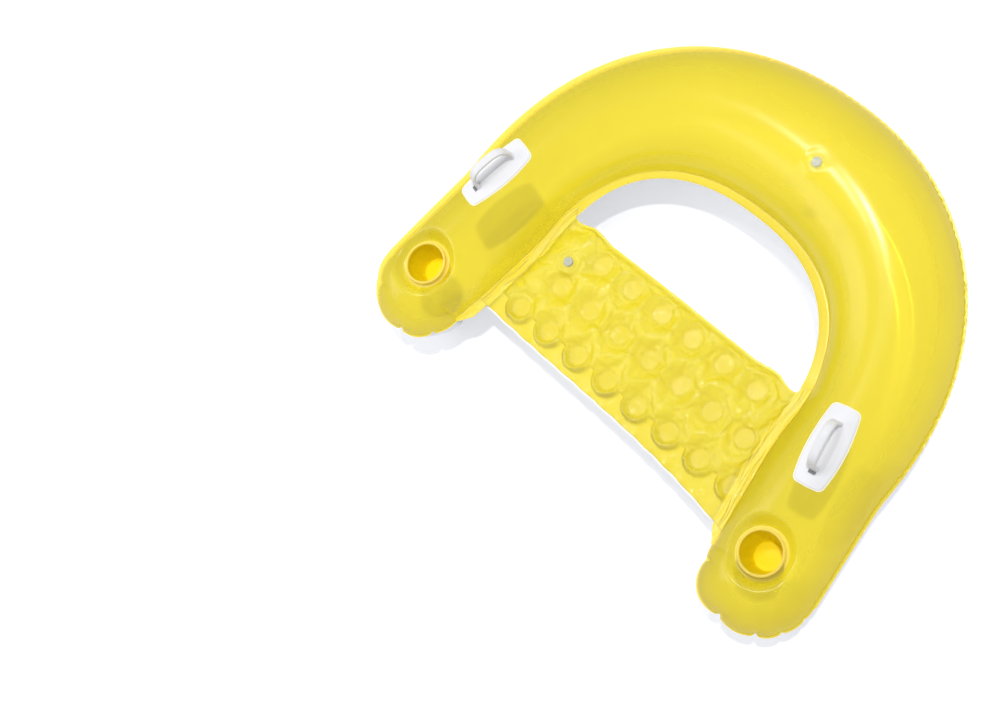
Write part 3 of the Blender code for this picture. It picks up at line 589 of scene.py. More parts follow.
def tube_points(sign, ribs, folds, arc):
    """Rows of points from the flange's free edge, over the weld and up to the crest."""
    turn = np.radians(WALL_DEGREES)
    move = folds.wall(arc)
    full_side = np.where(ribs.outer | ribs.fan, FULL_SIDE,
                         FULL_INSIDE * smooth(ribs.rise / 0.004))[:, None]
    reach = (ribs.radius[:, None] + full_side + move) * np.cos(turn)
    rise = (ribs.crest if sign > 0 else np.full(ribs.count, SEAM_HEIGHT - TUBE_WELD))[:, None]
    height = rise * np.sin(turn) + move * np.sin(turn)
    if sign < 0:
        height = np.minimum(height * 1.008, rise)
    height[:, -1] = rise[:, 0]
    out, up = folds.edge()
    shares = np.array(FLANGE_SHARES)
    emboss = EMBOSS * np.cos(2 * math.pi * shares * 2.0) * ribs.inner[:, None]
    foot = ribs.radius[:, None] + full_side + move[:, :1]
    tip = (ribs.radius + ribs.flange + out)[:, None]
    flange_reach = foot + (np.maximum(tip, foot + LEAST_FLANGE) - foot) * shares
    flange_z = (sign * TUBE_WELD + ribs.rise[:, None] * shares ** 2 + emboss * (1 - shares)
                + up[:, None] * shares)
    reach = np.hstack([flange_reach, reach])
    level = np.hstack([flange_z, sign * (TUBE_WELD + height)])
    place = ribs.place[:, None] + ribs.toward[:, None] * reach[..., None]
    return np.dstack([place, (SEAM_HEIGHT + level)[..., None]])


def tube_masks(points, ribs, arc):
    """Where the tube's film is welded, crinkled or double, and the painted shade on its low outer
    walls.
    """
    flange = len(FLANGE_SHARES)
    y = ribs.seam[:, 1]
    beside = ribs.inner * smooth((FOLD_END - y) / 0.04)
    weld, closed = np.zeros(points.shape[:2]), np.zeros(points.shape[:2])
    weld[:, :flange] = (1 - 0.85 * beside)[:, None]
    weld[:, flange] = 0.4
    away = np.hstack([np.zeros((ribs.count, flange)), arc])
    # Painted shade low on the outer walls, stronger on the right side.
    wall_shade_strength = np.where(ribs.seam[:, 0] > 0.2, 0.55, 0.2) * (ribs.outer | ribs.fan)
    low_wall_shade = np.hstack([np.zeros(flange), smooth(1 - WALL_DEGREES / 62)])
    closed[:, :flange] = (ribs.inner * smooth((SEAT_REAR + 0.016 - y) / 0.006))[:, None]
    return {"weld": weld, "crinkle": beside[:, None] * smooth(1 - away / 0.075),
            "closed": closed, "wall": wall_shade_strength[:, None] * low_wall_shade}


def tube_skin(name, sign, ribs, folds, material):
    """The upper (+1) or lower (-1) skin of the float tube, with its weld flanges."""
    arc = ribs.radius[:, None] * np.radians(WALL_DEGREES)
    points = tube_points(sign, ribs, folds, arc)
    masks = tube_masks(points, ribs, arc)
    columns = points.shape[1]
    points = points.reshape(-1, 3)
    if sign > 0:
        x, y, z = points.T
        for side in (1, -1):
            z = dimpled(x, y, z, cup_centre(side), CUP_RING_RADIUS,
                        CUP_DIMPLE_RADIUS - CUP_RING_RADIUS, CUP_LEVEL)
        points[:, 2] = dimpled(x, y, z, TUBE_VALVE, VALVE_PAD_RADIUS, 0.012, TUBE_VALVE_LEVEL)
    # Painted shade in front of each cup.
    masks["painted_shade"] = cup_shade(points, 1) + cup_shade(points, -1)
    faces = grid_faces(ribs.count, columns, closed=True)[:, ::sign]
    item = add_piece(name, points, faces, material, masks=masks)

    def trim(bm):
        bmesh.ops.remove_doubles(bm, verts=bm.verts, dist=1e-5)
        bmesh.ops.dissolve_degenerate(bm, edges=bm.edges, dist=1e-6)
        if sign > 0:
            for side in (1, -1):
                open_hole(bm, cup_centre(side), CUP_HOLE_RADIUS, CUP_LEVEL)
            open_hole(bm, TUBE_VALVE, VALVE_HOLE_RADIUS, TUBE_VALVE_LEVEL)
        bmesh.ops.recalc_face_normals(bm, faces=bm.faces)
        if sum(f.normal.z * f.calc_area() for f in bm.faces) * sign < 0:
            bmesh.ops.reverse_faces(bm, faces=bm.faces)

    edit(item, trim)
    return item


def open_hole(bm, centre, radius, level):
    """Open a round hole: the points in it go, and the cut edge runs in to the circle."""
    middle = Vector((centre[0], centre[1] + CHAIR_SHIFT))
    gone = [v for v in bm.verts if (v.co.xy - middle).length < radius + 0.0008]
    bmesh.ops.delete(bm, geom=gone, context="VERTS")
    rim = [e for e in bm.edges if e.is_boundary
           and (e.verts[0].co.xy - middle).length < radius + 0.02]
    made = bmesh.ops.extrude_edge_only(bm, edges=rim)["geom"]
    for vert in made:
        if isinstance(vert, bmesh.types.BMVert):
            way = (vert.co.xy - middle).normalized() * radius
            vert.co = (*(middle + way), level)


def valve_plan(word):
    """Plan place and level of a valve's pad, read from its neck in the frame."""
    low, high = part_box(word + "_valve_neck")
    centre = (low + high) / 2
    return np.array([centre.x, centre.y - CHAIR_SHIFT]), high.z - 0.001


TUBE_VALVE, TUBE_VALVE_LEVEL = valve_plan("tube")
SEAT_VALVE, SEAT_VALVE_LEVEL = valve_plan("seat")


# Seat panel

def seat_front(x):
    """Front edge, which curves back a little between the arms."""
    return np.polyval(FRONT_BEND, x)


def seat_rear(x):
    """Rear edge: a low ear near each corner, then a dip that runs up along the arm's weld."""
    even = np.linspace(-0.02, 0.40, 841)
    level = SEAT_REAR + np.interp(even, REAR_KNOTS, REAR_RISES)
    window = np.hanning(23)
    level = np.convolve(np.pad(level, len(window) // 2, "edge"), window / window.sum(), "valid")
    return np.interp(np.abs(x), even, level)


def disc_centres():
    centres = []
    for row, count in enumerate(DISC_COUNTS):
        y = DISC_MIDDLE_Y + DISC_ROW_SPACING * (row - 1)
        for place in range(count):
            centres.append((DISC_MIDDLE_X + DISC_PITCH * (place - (count - 1) / 2), y))
    return np.array(centres)


def seat_plan(step):
    """Plan points of the panel on a grid whose lines follow its edges and its discs."""
    rows = int((SEAT_FRONT + SEAT_REAR) / step) + 1
    half = int(side_x(0.0, 0.0) * STRIP_SHARE / step)
    across = np.r_[np.linspace(0, STRIP_SHARE, half, endpoint=False),
                   np.linspace(STRIP_SHARE, 1, STRIP_COLUMNS)]
    across = np.r_[-across[:0:-1], across][None, :]
    up = np.linspace(0, 1, rows)[:, None]
    x = across * side_x(-0.1, SEAT_SIDE_INSET) + 0 * up
    for _ in range(4):
        y = seat_front(x) * (1 - up) + seat_rear(x) * up
        x = across * side_x(y, SEAT_SIDE_INSET)
    discs = disc_centres()
    for centre in discs:
        off = distance(x, y, centre)
        near = np.abs(off - DISC_RADIUS) < step * 0.55
        pull = np.where(near, DISC_RADIUS / np.maximum(off, 1e-6), 1.0)
        x = centre[0] + (x - centre[0]) * pull
        y = centre[1] + (y - centre[1]) * pull
    return x, y, discs


def seat_masks(x, y, discs):
    """What is welded flat, and the shape that the panel takes when it fills."""
    off = np.min([distance(x, y, centre) for centre in discs], axis=0)
    shoulder = side_x(y, SEAT_SHOULDER_INSET)
    row = discs[:DISC_COUNTS[0]]
    lobe = FRONT_LOBE - np.min([distance(x, y, centre) for centre in row], axis=0)
    front = np.where(y < row[0][1], np.minimum(lobe, y - seat_front(x) - SEAT_FRONT_STRIP), 1.0)
    rear = seat_rear(x) - SEAT_REAR_STRIP - y
    side = shoulder - np.abs(x)
    free = np.minimum.reduce([off - DISC_RADIUS, front, rear, side])
    share = np.clip(free / FULL_AWAY, 0, 1)
    fullness = np.sqrt(1 - (1 - share) ** 2)
    base = SEAT_WELD_LIFT * (1 - np.clip(side / SEAT_BLEND, 0, 1))
    return off, side, front, rear, free, fullness, base


def side_folds(x, y, side):
    """Long creases that run along the side welds and fan out at the front corners."""
    reach = side_x(y, SEAT_SIDE_INSET) - np.abs(x)
    lift = np.zeros(x.shape)
    wander = 0.0020 * np.sin(y * 41 + np.sign(x)) + 0.0010 * np.sin(y * 97)
    for place, high, wide in SIDE_FOLDS:
        spread = place * (1 + 0.25 * np.sin(y * 23 + place * 900))
        lift += high * bell(reach - spread - wander, wide)
    return lift * smooth((reach + 0.001) / 0.003) * smooth((side + 0.03) / 0.01)


def inflate(item, pinned, sizes):
    """Blow the panel up: its welds are held, its film is cut a little long and pushed out."""
    group = item.vertex_groups.new(name="weld")
    group.add([int(k) for k in np.flatnonzero(pinned)], 1.0, "REPLACE")
    cloth = item.modifiers.new("inflate", "CLOTH")
    values = {"vertex_group_mass": "weld", "quality": 6, "mass": 0.12,
              "tension_stiffness": 18.0, "compression_stiffness": 18.0, "shear_stiffness": 8.0,
              "bending_stiffness": 0.03, "use_pressure": True,
              "uniform_pressure_force": sizes.seat_pressure, "shrink_min": -sizes.seat_slack}
    for word, value in values.items():
        setattr(cloth.settings, word, value)
    cloth.settings.effector_weights.gravity = 0.0
    cloth.collision_settings.use_collision = False
    cloth.point_cache.frame_start = 1
    cloth.point_cache.frame_end = sizes.seat_frames
    scene = bpy.context.scene
    for number in range(1, sizes.seat_frames + 1):
        scene.frame_set(number)
    drawn = item.evaluated_get(bpy.context.evaluated_depsgraph_get())
    found = np.empty(len(item.data.vertices) * 3)
    drawn.data.vertices.foreach_get("co", found)
    item.modifiers.remove(cloth)
    item.vertex_groups.remove(group)
    scene.frame_set(1)
    return found.reshape(-1, 3)


def seat_painted_shade(x, y, side, ahead, steep, folds):
    """Painted shade: deep colour on the steep fronts of the bulges before the front discs, in the
    hollows of the side creases and along the front edge.
    """
    patchy = 0.62 + 0.38 * np.sin(x * 61 + 0.8) * np.sin(x * 23 + 2.0)
    hollow = smooth((-0.0002 - folds) / 0.0006) * (0.5 + 0.5 * smooth((-0.02 - y) / 0.06))
    return np.maximum.reduce([0.95 * steep * patchy, 0.70 * hollow,
                              0.6 * smooth(1 - ahead / 0.0018)])


def seat_skins(sizes, film, white):
    """Both sheets of the panel, welded at its discs, edges and side strips."""
    x, y, discs = seat_plan(sizes.seat_step)
    off, side, front, rear, free, fullness, base = seat_masks(x, y, discs)
    folds = side_folds(x, y, side)
    ahead = y - seat_front(x)
    facing = smooth((discs[0][1] - y) / 0.02)
    inward = smooth(side / 0.01)
    steep = bell(front - 0.0035, 0.0042) * facing * inward
    held = free <= 1e-4
    edge = np.minimum(np.minimum(side, front), rear) <= 1e-4
    # The shade mask carries the painted shade of the panel's folds and front edge.
    masks = {"weld": held.astype(float) * 0.10 * (side > 0) * (1 - edge), "disc": off,
             "painted_shade": seat_painted_shade(x, y, side, ahead, steep, folds),
             "closed": smooth(1 - side / 0.002), "crinkle": 0.5 * smooth(1 - side / 0.05)}
    valve_off = distance(x, y, SEAT_VALVE)
    pad = SEAT_VALVE_LEVEL - SEAM_HEIGHT
    z = dimpled(x, y, TUBE_WELD + base + sizes.seat_puff * fullness * 0.7, SEAT_VALVE,
                VALVE_PAD_RADIUS, 0.010, pad)
    points = np.dstack([x, y, SEAM_HEIGHT + z]).reshape(-1, 3)
    rows, columns = x.shape
    faces = grid_faces(rows, columns)[:, ::-1]
    top = add_piece("seat_upper_skin", points, faces, film, masks=masks)
    pinned = held | (valve_off < VALVE_PAD_RADIUS)
    move = inflate(top, pinned.ravel(), sizes) - (0.0, CHAIR_SHIFT, 0.0) - points
    far = np.linalg.norm(move, axis=1)
    points = points + move * np.minimum(1.0, FURTHEST_MOVE / np.maximum(far, 1e-9))[:, None]
    grid = points.reshape(rows, columns, 3)
    near_front = smooth(1 - ahead / (SEAT_FRONT_STRIP + 0.003))
    grid[..., 1] -= 0.0007 * np.sin(2 * math.pi * x / 0.061) * near_front
    wave = 0.0016 * np.sin(2 * math.pi * x / 0.047 + 1.0) * near_front
    lip = LIP_HEIGHT * np.sin(math.pi * np.clip(front / LIP_WIDTH, 0, 1)) ** 0.8 * facing
    folds = folds + 0.0009 * smooth(1 - side / 0.004)
    under = grid.copy()
    grid[..., 2] += wave + folds + lip * inward * (front < LIP_WIDTH)
    under[..., 2] = 2 * SEAM_HEIGHT - under[..., 2] + wave - folds
    under[..., 1] -= 0.0034 * near_front
    top.data.vertices.foreach_set("co", (grid.reshape(-1, 3) + (0, CHAIR_SHIFT, 0)).ravel())
    edit(top, lambda bm: open_hole(bm, SEAT_VALVE, VALVE_HOLE_RADIUS, SEAT_VALVE_LEVEL))
    bottom = add_piece("seat_lower_skin", under.reshape(-1, 3), faces[:, ::-1], white,
                       masks=masks)
    return top, bottom


# Turned pieces

def turned(name, profile, centre, level, steps, material, body="chair", shape=None, behind=0,
           paint=None):
    """Spin a profile of radius and height round an upright axis; shape may bend the radius."""
    profile = np.array(profile, float)
    turn = np.linspace(0, 2 * math.pi, steps, endpoint=False)[:, None]
    radius = profile[:, 0] + (shape(turn, profile[:, 0], profile[:, 1]) if shape else 0.0)
    radius = np.where(profile[:, 0] == 0, 0.0, radius) + 0 * turn
    points = np.dstack([centre[0] + radius * np.cos(turn), centre[1] + radius * np.sin(turn),
                        level + profile[:, 1] + 0 * turn])
    none = np.zeros(radius.shape)
    # The last points of the profile, the back of the wall, take the painted dark shade of the
    # sleeve's back.
    outside = none + (np.arange(len(profile)) >= len(profile) - behind)
    masks = {"weld": none, "crinkle": none, "outside": outside}
    masks.update(paint(points) if paint else {})
    item = add_piece(name, points.reshape(-1, 3), grid_faces(steps, len(profile), closed=True),
                     material, body, masks)
    edit(item, lambda bm: (bmesh.ops.remove_doubles(bm, verts=bm.verts, dist=1e-6),
                           bmesh.ops.dissolve_degenerate(bm, edges=bm.edges, dist=1e-7),
                           bmesh.ops.recalc_face_normals(bm, faces=bm.faces)))
    return item


def rounded(corners, radius, steps=4):
    """A profile with its corners rounded, its ends kept."""
    points = [corners[0]]
    for before, corner, after in zip(corners, corners[1:], corners[2:]):
        before, corner, after = (np.array(p, float) for p in (before, corner, after))
        first, second = before - corner, after - corner
        cut = min(radius, np.linalg.norm(first) * 0.45, np.linalg.norm(second) * 0.45)
        start = corner + first / np.linalg.norm(first) * cut
        end = corner + second / np.linalg.norm(second) * cut
        for share in np.linspace(0, 1, steps):
            points.append(tuple((1 - share) ** 2 * start + 2 * share * (1 - share) * corner
                                + share ** 2 * end))
    return points + [corners[-1]]


# Cup pocket from its weld ring to its floor, as radius and height over the ring
CUP_COLLAR = rounded([(0.0532, 0.0003), (0.0516, 0.0008), (0.0474, 0.0009), (0.0458, 0.0022),
                      (0.0457, 0.0062)], 0.0012)
CUP_INSIDE = [(0.0437, 0.0055), (0.0432, 0.003), (0.0436, 0.0005), (0.0444, -0.003),
              (0.0443, -0.009), (0.0436, -0.013), (0.0415, -0.020), (0.0390, -0.029),
              (0.0362, -0.039), (0.0335, -0.048), (0.0316, -0.0535), (0.0303, -0.0562),
              (0.0280, -0.0566), (0.0262, -0.0568), (0.0262, -0.0578), (0.0305, -0.0577)]
CUP_OUTSIDE = [(r + 0.0011, h - 0.0003) for r, h in CUP_INSIDE[-7:4:-1]] + [(0.0452, -0.0008)]
CUP_DISC = [(0.0, -0.0547), (0.018, -0.0549), (0.0225, -0.0555), (0.0262, -0.0551),
            (0.0285, -0.0552), (0.0295, -0.0559), (0.0295, -0.0565)]
CUP_STEPS, DISC_STEPS = 160, 72


def cup_sleeve(side, word, sizes, film, floor_film):
    """Pocket of a cup: weld ring on the skin, raised collar, rolled lip and pleated wall."""
    roll = sizes.lip_roll
    lip = [(CUP_WALL_RADIUS - 0.0006 + roll * math.cos(a), 0.0095 + roll * math.sin(a))
           for a in np.radians(np.linspace(-60, 235, 16))]
    profile = CUP_COLLAR + lip + CUP_INSIDE + CUP_OUTSIDE
    number = np.arange(len(profile))
    pleats = sizes.sleeve_pleats

    def shape(turn, radius, height):
        amount = smooth((0.004 - height) / 0.014) * smooth((height + 0.058) / 0.010)
        fold = (np.sin(pleats * turn + 1.1 * np.sin(3 * turn))
                + 0.6 * np.sin((2 * pleats + 1) * turn + height * 90))
        return -sizes.sleeve_fold * amount * fold

    def paint(points):
        rim = np.broadcast_to(number < len(CUP_COLLAR + lip), points.shape[:2])
        # The collar carries the same painted shade in front of the cup.
        return {"painted_shade": cup_shade(points, side) * (number < len(CUP_COLLAR)),
                "weld": 0.8 * rim}

    sleeve = turned("cup_sleeve_skin_" + word, profile, cup_centre(side), CUP_LEVEL, CUP_STEPS,
                    film, shape=shape, behind=len(CUP_OUTSIDE), paint=paint)
    return sleeve, turned("cup_floor_disc_" + word, CUP_DISC, cup_centre(side), CUP_LEVEL,
                          DISC_STEPS, floor_film)


# Grab handles

# Corner radius of the plate, and its rim's profile as inset and height over the skin
PLATE_CORNER, PLATE_LIFT = 0.014, 0.0025
PLATE_RIM = ((0.0, 0.0003), (0.0, 0.0009), (0.0006, 0.0012), (0.0022, 0.0012),
             (0.0027, 0.0018), (0.0034, 0.0026), (0.0045, 0.0029), (0.0062, 0.0029),
             (0.009, 0.0027), (0.012, 0.0026), (0.016, PLATE_LIFT), (0.020, PLATE_LIFT),
             (0.024, PLATE_LIFT), (0.028, PLATE_LIFT), (0.032, PLATE_LIFT),
             (0.0365, PLATE_LIFT))
# Dish of the plate under the grip: depth, half length and half width
DISH_DEPTH, DISH_LENGTH, DISH_WIDTH = 0.0012, 0.062, 0.027
# Frame of the plate's slot: outset, height over the plate, share of the slot's painted dark shade
SLOT_RINGS = ((0.0016, 0.0, 0.0), (0.0010, 0.0007, 0.0), (0.0003, 0.0007, 0.0),
              (0.0, 0.0003, 0.6), (-0.0003, 0.0001, 1.0), (-0.0022, 0.0001, 1.0))
PLATE_STEPS, SLOT_STEPS, GRIP_STATIONS, GRIP_SIDES = 144, 40, 56, 28


def signed_power(value, power):
    return np.sign(value) * np.abs(value) ** power


class HandleAxes:
    """Middle of a handle on its arm, with its ways forward and aside."""

    def __init__(self, side):
        turn = math.radians(HANDLE_DEGREES) * side
        self.centre = np.array([side * (ARM_SPREAD + HANDLE_OUT) - HANDLE_DRIFT,
                                HANDLE_Y - side * HANDLE_STAGGER])
        self.forward = np.array([-math.sin(turn), math.cos(turn)])
        self.aside = np.array([math.cos(turn), math.sin(turn)])
        self.lean = (side * HANDLE_OUT - HANDLE_DRIFT) / ARM_RADIUS

    def on_skin(self, across, along, lift):
        """Points at a height over the tube's skin."""
        plan = self.centre + across[:, None] * self.aside + along[:, None] * self.forward
        return np.c_[plan, SEAM_TOP + tube_height(plan[:, 0], plan[:, 1]) + lift]


def plate_outline(count):
    """Barrel outline of the plate, its corners rounded, as even points."""
    half, corner = PLATE_LENGTH / 2, PLATE_CORNER
    along = np.linspace(-half + corner, half - corner, 60)
    wide = (PLATE_MIDDLE + (PLATE_END - PLATE_MIDDLE) * (along / half) ** 2) / 2
    bend = np.radians(np.linspace(0, 90, 12)[1:])
    top = np.c_[wide[-1] - corner + corner * np.cos(bend),
                half - corner + corner * np.sin(bend)]
    right = np.vstack([np.c_[wide, along], top, [[0, half + 0.001]]])
    loop = np.vstack([right, (right * (-1, 1))[::-1][1:]])
    rear = loop[loop[:, 1] > 0]
    closed = np.vstack([rear, -rear, rear[:1]])
    run = path_length(closed)
    return along_path(np.linspace(0, run[-1], count, endpoint=False), run, closed)


def plate_mesh(axes):
    """The plate that is welded on the arm's crest: its points, faces and the mask of its rim."""
    outline = plate_outline(PLATE_STEPS)
    points, rim = [], []
    half, wide = PLATE_LENGTH / 2, PLATE_MIDDLE / 2
    for inset, lift in PLATE_RIM:
        across = outline[:, 0] * (1 - inset / (wide + 0.0005))
        along = outline[:, 1] * (1 - inset / (half - 0.02) * (0.6 + 0.4 * inset / 0.0365))
        off = np.hypot(along / DISH_LENGTH, (across + GRIP_DRIFT) / DISH_WIDTH)
        points.append(axes.on_skin(across, along, lift - DISH_DEPTH * smooth(1.35 - off)))
        rim += [float(inset < 0.0025)] * PLATE_STEPS
    return np.vstack(points), ring_faces(len(PLATE_RIM), PLATE_STEPS), rim


def slot_mesh(axes):
    """A small framed slot in the plate, in front of the grip's front foot; its middle is painted
    dark as the shade of a hole, not cut.
    """
    turn = 2 * math.pi * np.arange(SLOT_STEPS) / SLOT_STEPS
    across, along = signed_power(np.cos(turn), 0.35), signed_power(np.sin(turn), 0.35)
    points = [axes.on_skin(SLOT_SHIFT + (SLOT_WIDTH / 2 + outset) * across,
                           -SLOT_FORWARD + (SLOT_LENGTH / 2 + outset) * along,
                           PLATE_LIFT + lift) for outset, lift, _ in SLOT_RINGS]
    dark = np.repeat([ring[2] for ring in SLOT_RINGS], SLOT_STEPS)
    return np.vstack(points), ring_faces(len(SLOT_RINGS), SLOT_STEPS), dark


def grip_mesh(axes, sizes):
    """The arched grip as loops of a rounded flat bar, wider where its feet meet the plate."""
    foot = SEAM_TOP + float(tube_height(*axes.centre)) + 0.0013
    angle = np.linspace(0, math.pi, GRIP_STATIONS)
    along = -signed_power(np.cos(angle), 0.6) * GRIP_FOOT
    rise = np.abs(np.sin(angle)) ** 0.8 * GRIP_RISE
    run = path_length(np.c_[along, rise])
    turn = 2 * math.pi * (np.arange(GRIP_SIDES) + 0.5) / GRIP_SIDES
    near_foot = bell(rise, 0.006)[:, None]
    wide = (sizes.strap_width / 2 + 0.002 * near_foot) * signed_power(np.cos(turn), 0.5)
    thick = (GRIP_DEPTH / 2 + 0.001 * near_foot) * signed_power(np.sin(turn), 0.7)
    slope = (math.pi / 2 - angle)[:, None]
    aside = (rise * axes.lean - GRIP_DRIFT + sizes.strap_shift)[:, None] + wide
    ahead = along[:, None] - thick * np.sin(slope)
    plan = axes.centre + aside[..., None] * axes.aside + ahead[..., None] * axes.forward
    points = np.dstack([plan, foot + rise[:, None] + thick * np.cos(slope)]).reshape(-1, 3)
    ribbed = (np.sin(turn) > 0.3) & (rise[:, None] > 0.02)
    return (points, ring_faces(GRIP_STATIONS, GRIP_SIDES, capped=False), ribbed.ravel(),
            np.repeat(run, GRIP_SIDES))


def grab_handle(side, word, sizes, white):
    """One moulding: a plate welded on the arm's crest and an arched grip with ribs."""
    axes = HandleAxes(side)
    plate, plate_faces, rim = plate_mesh(axes)
    slot, slot_faces, dark = slot_mesh(axes)
    grip, grip_faces, ribbed, run = grip_mesh(axes, sizes)
    faces = list(plate_faces)
    for first, more in ((len(plate), slot_faces), (len(plate) + len(slot), grip_faces)):
        faces += [tuple(first + k for k in face) for face in more]
    none = [np.zeros(len(part)) for part in (plate, slot, grip)]
    masks = {"rim": np.r_[rim, none[1], none[2]], "slot": np.r_[none[0], dark, none[2]],
             "ribbed": np.r_[none[0], none[1], ribbed], "along": np.r_[none[0], none[1], run]}
    item = add_piece("grab_handle_moulding_" + word, np.vstack([plate, slot, grip]), faces,
                     white, masks=masks)
    edit(item, lambda bm: bmesh.ops.recalc_face_normals(bm, faces=bm.faces))
    return item


# Air valves

# Profiles of a valve's pieces as radius and height over the skin, with their corner radius
VALVE_PROFILES = {
    "neck": (((0.0098, -0.013), (0.0098, 0.001), (0.012, 0.001), (0.012, -0.0007),
              (0.019, -0.0007), (0.019, -0.0019), (0.012, -0.0019), (0.012, -0.013),
              (0.0098, -0.013)), 0.0005),
    "stem": (((0.006, -0.013), (0.006, 0.001), (0.0095, 0.001), (0.0095, -0.013),
              (0.006, -0.013)), 0.0006),
    "cap": (((0.0, 0.0024), (0.0035, 0.0024), (0.0048, 0.0029), (0.0075, 0.0029),
             (0.0098, 0.0022), (0.0098, 0.0013), (0.0056, 0.0013), (0.0056, 0.001),
             (0.0047, -0.004), (0.0, -0.004)), 0.0006),
    "flap": (((0.0, -0.0133), (0.008, -0.0133), (0.008, -0.0141), (0.0, -0.0141)), 0.0003),
}
VALVE_STEPS = 48


def valve_pieces(word, plan, level, clear, grey):
    """Neck, sliding stem, lidded cap, and the check flap under them."""
    for part, (corners, radius) in VALVE_PROFILES.items():
        node = f"{word}_valve_{part}"
        body = "chair" if part == "neck" else node
        item = turned(node + "_moulding", rounded(corners, radius), plan, level, VALVE_STEPS,
                      grey if part == "cap" else clear, body)
        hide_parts(node)


# Sizes and colours that a user would change

def length(name, text, default):
    return FloatProperty(name=name, description=text, default=default, min=0.0, unit="LENGTH")


def colour(name, text, default):
    return FloatVectorProperty(name=name, description=text, default=default, subtype="COLOR",
                               size=3, min=0.0, max=1.0)


def amount(name, text, default, top=1.0):
    return FloatProperty(name=name, description=text, default=default, min=0.0, max=top)


class PoolChairFilm(bpy.types.PropertyGroup):
    """Colours and gloss of the sheet vinyl and the mouldings."""
    yellow: colour("Yellow", "Upper sheets", (0.92, 0.78, 0.035))
    # Used for random clouds, and as painted shade in patches on the crinkled film beside the
    # seat.
    shade: colour("Yellow Shade", "Deeper yellow of clouds and folds", (0.89, 0.73, 0.02))
    pale: colour("Yellow Welds", "Upper sheets where they are welded", (0.95, 0.87, 0.30))
    cup: colour("Cup Yellow", "Cup pockets", (0.96, 0.76, 0.006))
    cup_shade: colour("Cup Shade", "Clouds in the cup pockets", (0.93, 0.74, 0.006))
    # Painted shade: the outer side of a cup's wall inside the tube is painted dark.
    sleeve_back_shade: colour("Sleeve Back", "Outer side of a cup's wall, inside the tube",
                        (0.50, 0.40, 0.02))
    # Painted shade: the colour of the shade mask, on steep folds of the seat and in front of the
    # cups.
    painted_shade_colour: colour("Deep Yellow", "Upper sheets where a fold stands steep", (0.45, 0.35, 0.02))
    # Painted shade on the tube's low outer walls, stronger on the right side.
    wall: colour("Outer Wall", "Outer wall of the tube, where the film is seen edge on",
                 (0.84, 0.62, 0.01))
    doubled: colour("Doubled Yellow", "Upper sheets where they lie on each other",
                    (0.80, 0.645, 0.02))
    white: colour("White", "Lower sheets", (0.84, 0.84, 0.88))
    white_shade: colour("White Shade", "Clouds in the lower sheets", (0.76, 0.76, 0.82))
    tint: colour("Film Tint", "What the yellow film lets through", (1.0, 0.91, 0.19))
    seat_clarity: amount("Seat Clarity", "Share of the light that passes the seat's film", 0.45)
    clarity: amount("Clarity", "Share of the light that passes the yellow film", 0.67)
    gloss_spread: amount("Gloss Spread", "Roughness of the film's gloss", 0.19)
    gloss_index: amount("Gloss Index", "Refraction index of the film's gloss", 1.9, 3.0)
    seat_gloss_index: amount("Seat Gloss Index", "Refraction index of the seat's gloss", 1.8,
                             3.0)
    seat_gloss_spread: amount("Seat Gloss Spread", "Roughness of the seat's gloss", 0.12)
    film_relief: amount("Film Relief", "Strength of the fine ripples", 0.35)
    crinkle_depth: amount("Crinkles", "Depth of the crinkles beside the seat", 1.5, 4.0)
    wrinkle_depth: amount("Wrinkles", "Depth of the fine wrinkles of the seat", 0.75, 4.0)
    moulding: colour("Moulding", "Grab handles", (0.71, 0.71, 0.73))
    moulding_edge: colour("Moulding Edge", "Thin welded rim of a handle's plate",
                          (0.90, 0.86, 0.62))
    valve: colour("Valve", "Soft clear valve mouldings", (0.66, 0.70, 0.68))


class PoolChairTube(bpy.types.PropertyGroup):
    """Puckers of the float tube along its welds."""
    pucker_pitch: length("Pucker Pitch", "Distance between puckers on the outer weld", 0.0195)
    pucker_depth: length("Pucker Depth", "Depth of the puckers on the outer weld", 0.0025)
    tip_depth: length("Tip Depth", "Depth of the notches at the arm ends", 0.0075)
    pleat_depth: length("Pleat Depth", "Depth of the pleats beside the seat", 0.0011)
    fold_seed: IntProperty(name="Fold Seed", description="Order of the folds", default=11)


class PoolChairSeat(bpy.types.PropertyGroup):
    """Seat panel."""
    seat_step: length("Grid Step", "Spacing of the panel's points", 0.0034)
    seat_puff: length("Puff", "Height of the panel between its welds", 0.016)
    seat_pressure: amount("Pressure", "Air pressure of the simulation", 3.0, 20.0)
    seat_slack: amount("Slack", "Share by which the film is cut long", 0.06)
    seat_frames: IntProperty(name="Frames", description="Steps of the simulation", default=22)


class PoolChairFittings(bpy.types.PropertyGroup):
    """Cup pockets, grab handles and valves."""
    strap_width: length("Strap Width", "Width of a handle's grip", 0.019)
    strap_shift: length("Strap Shift", "Shift of a handle's grip to the right", 0.0025)
    lip_roll: length("Lip Roll", "Radius of a cup pocket's rolled lip", 0.0031)
    sleeve_fold: length("Sleeve Fold", "Depth of the folds in a cup's wall", 0.0007)
    sleeve_pleats: IntProperty(name="Sleeve Pleats", description="Folds round a cup's wall",
                               default=9)


class PoolChairStage(bpy.types.PropertyGroup):
    """Light and floor."""
    sun: amount("Sun", "Strength of the key light", 1.47, 10.0)
    sky: amount("Sky", "Strength of the light from all round", 0.48, 5.0)
    strip: amount("Strip", "Power of the small lamp that streaks the tube, in watts",
                  28.0, 500.0)
    glint: amount("Glint", "Power of the small lamp that glints on the seat, in watts",
                  16.0, 500.0)
    fill: amount("Fill", "Power of the large soft light from the left, in watts",
                 36.0, 500.0)
    floor: colour("Floor", "Pale floor", (0.82, 0.82, 0.83))


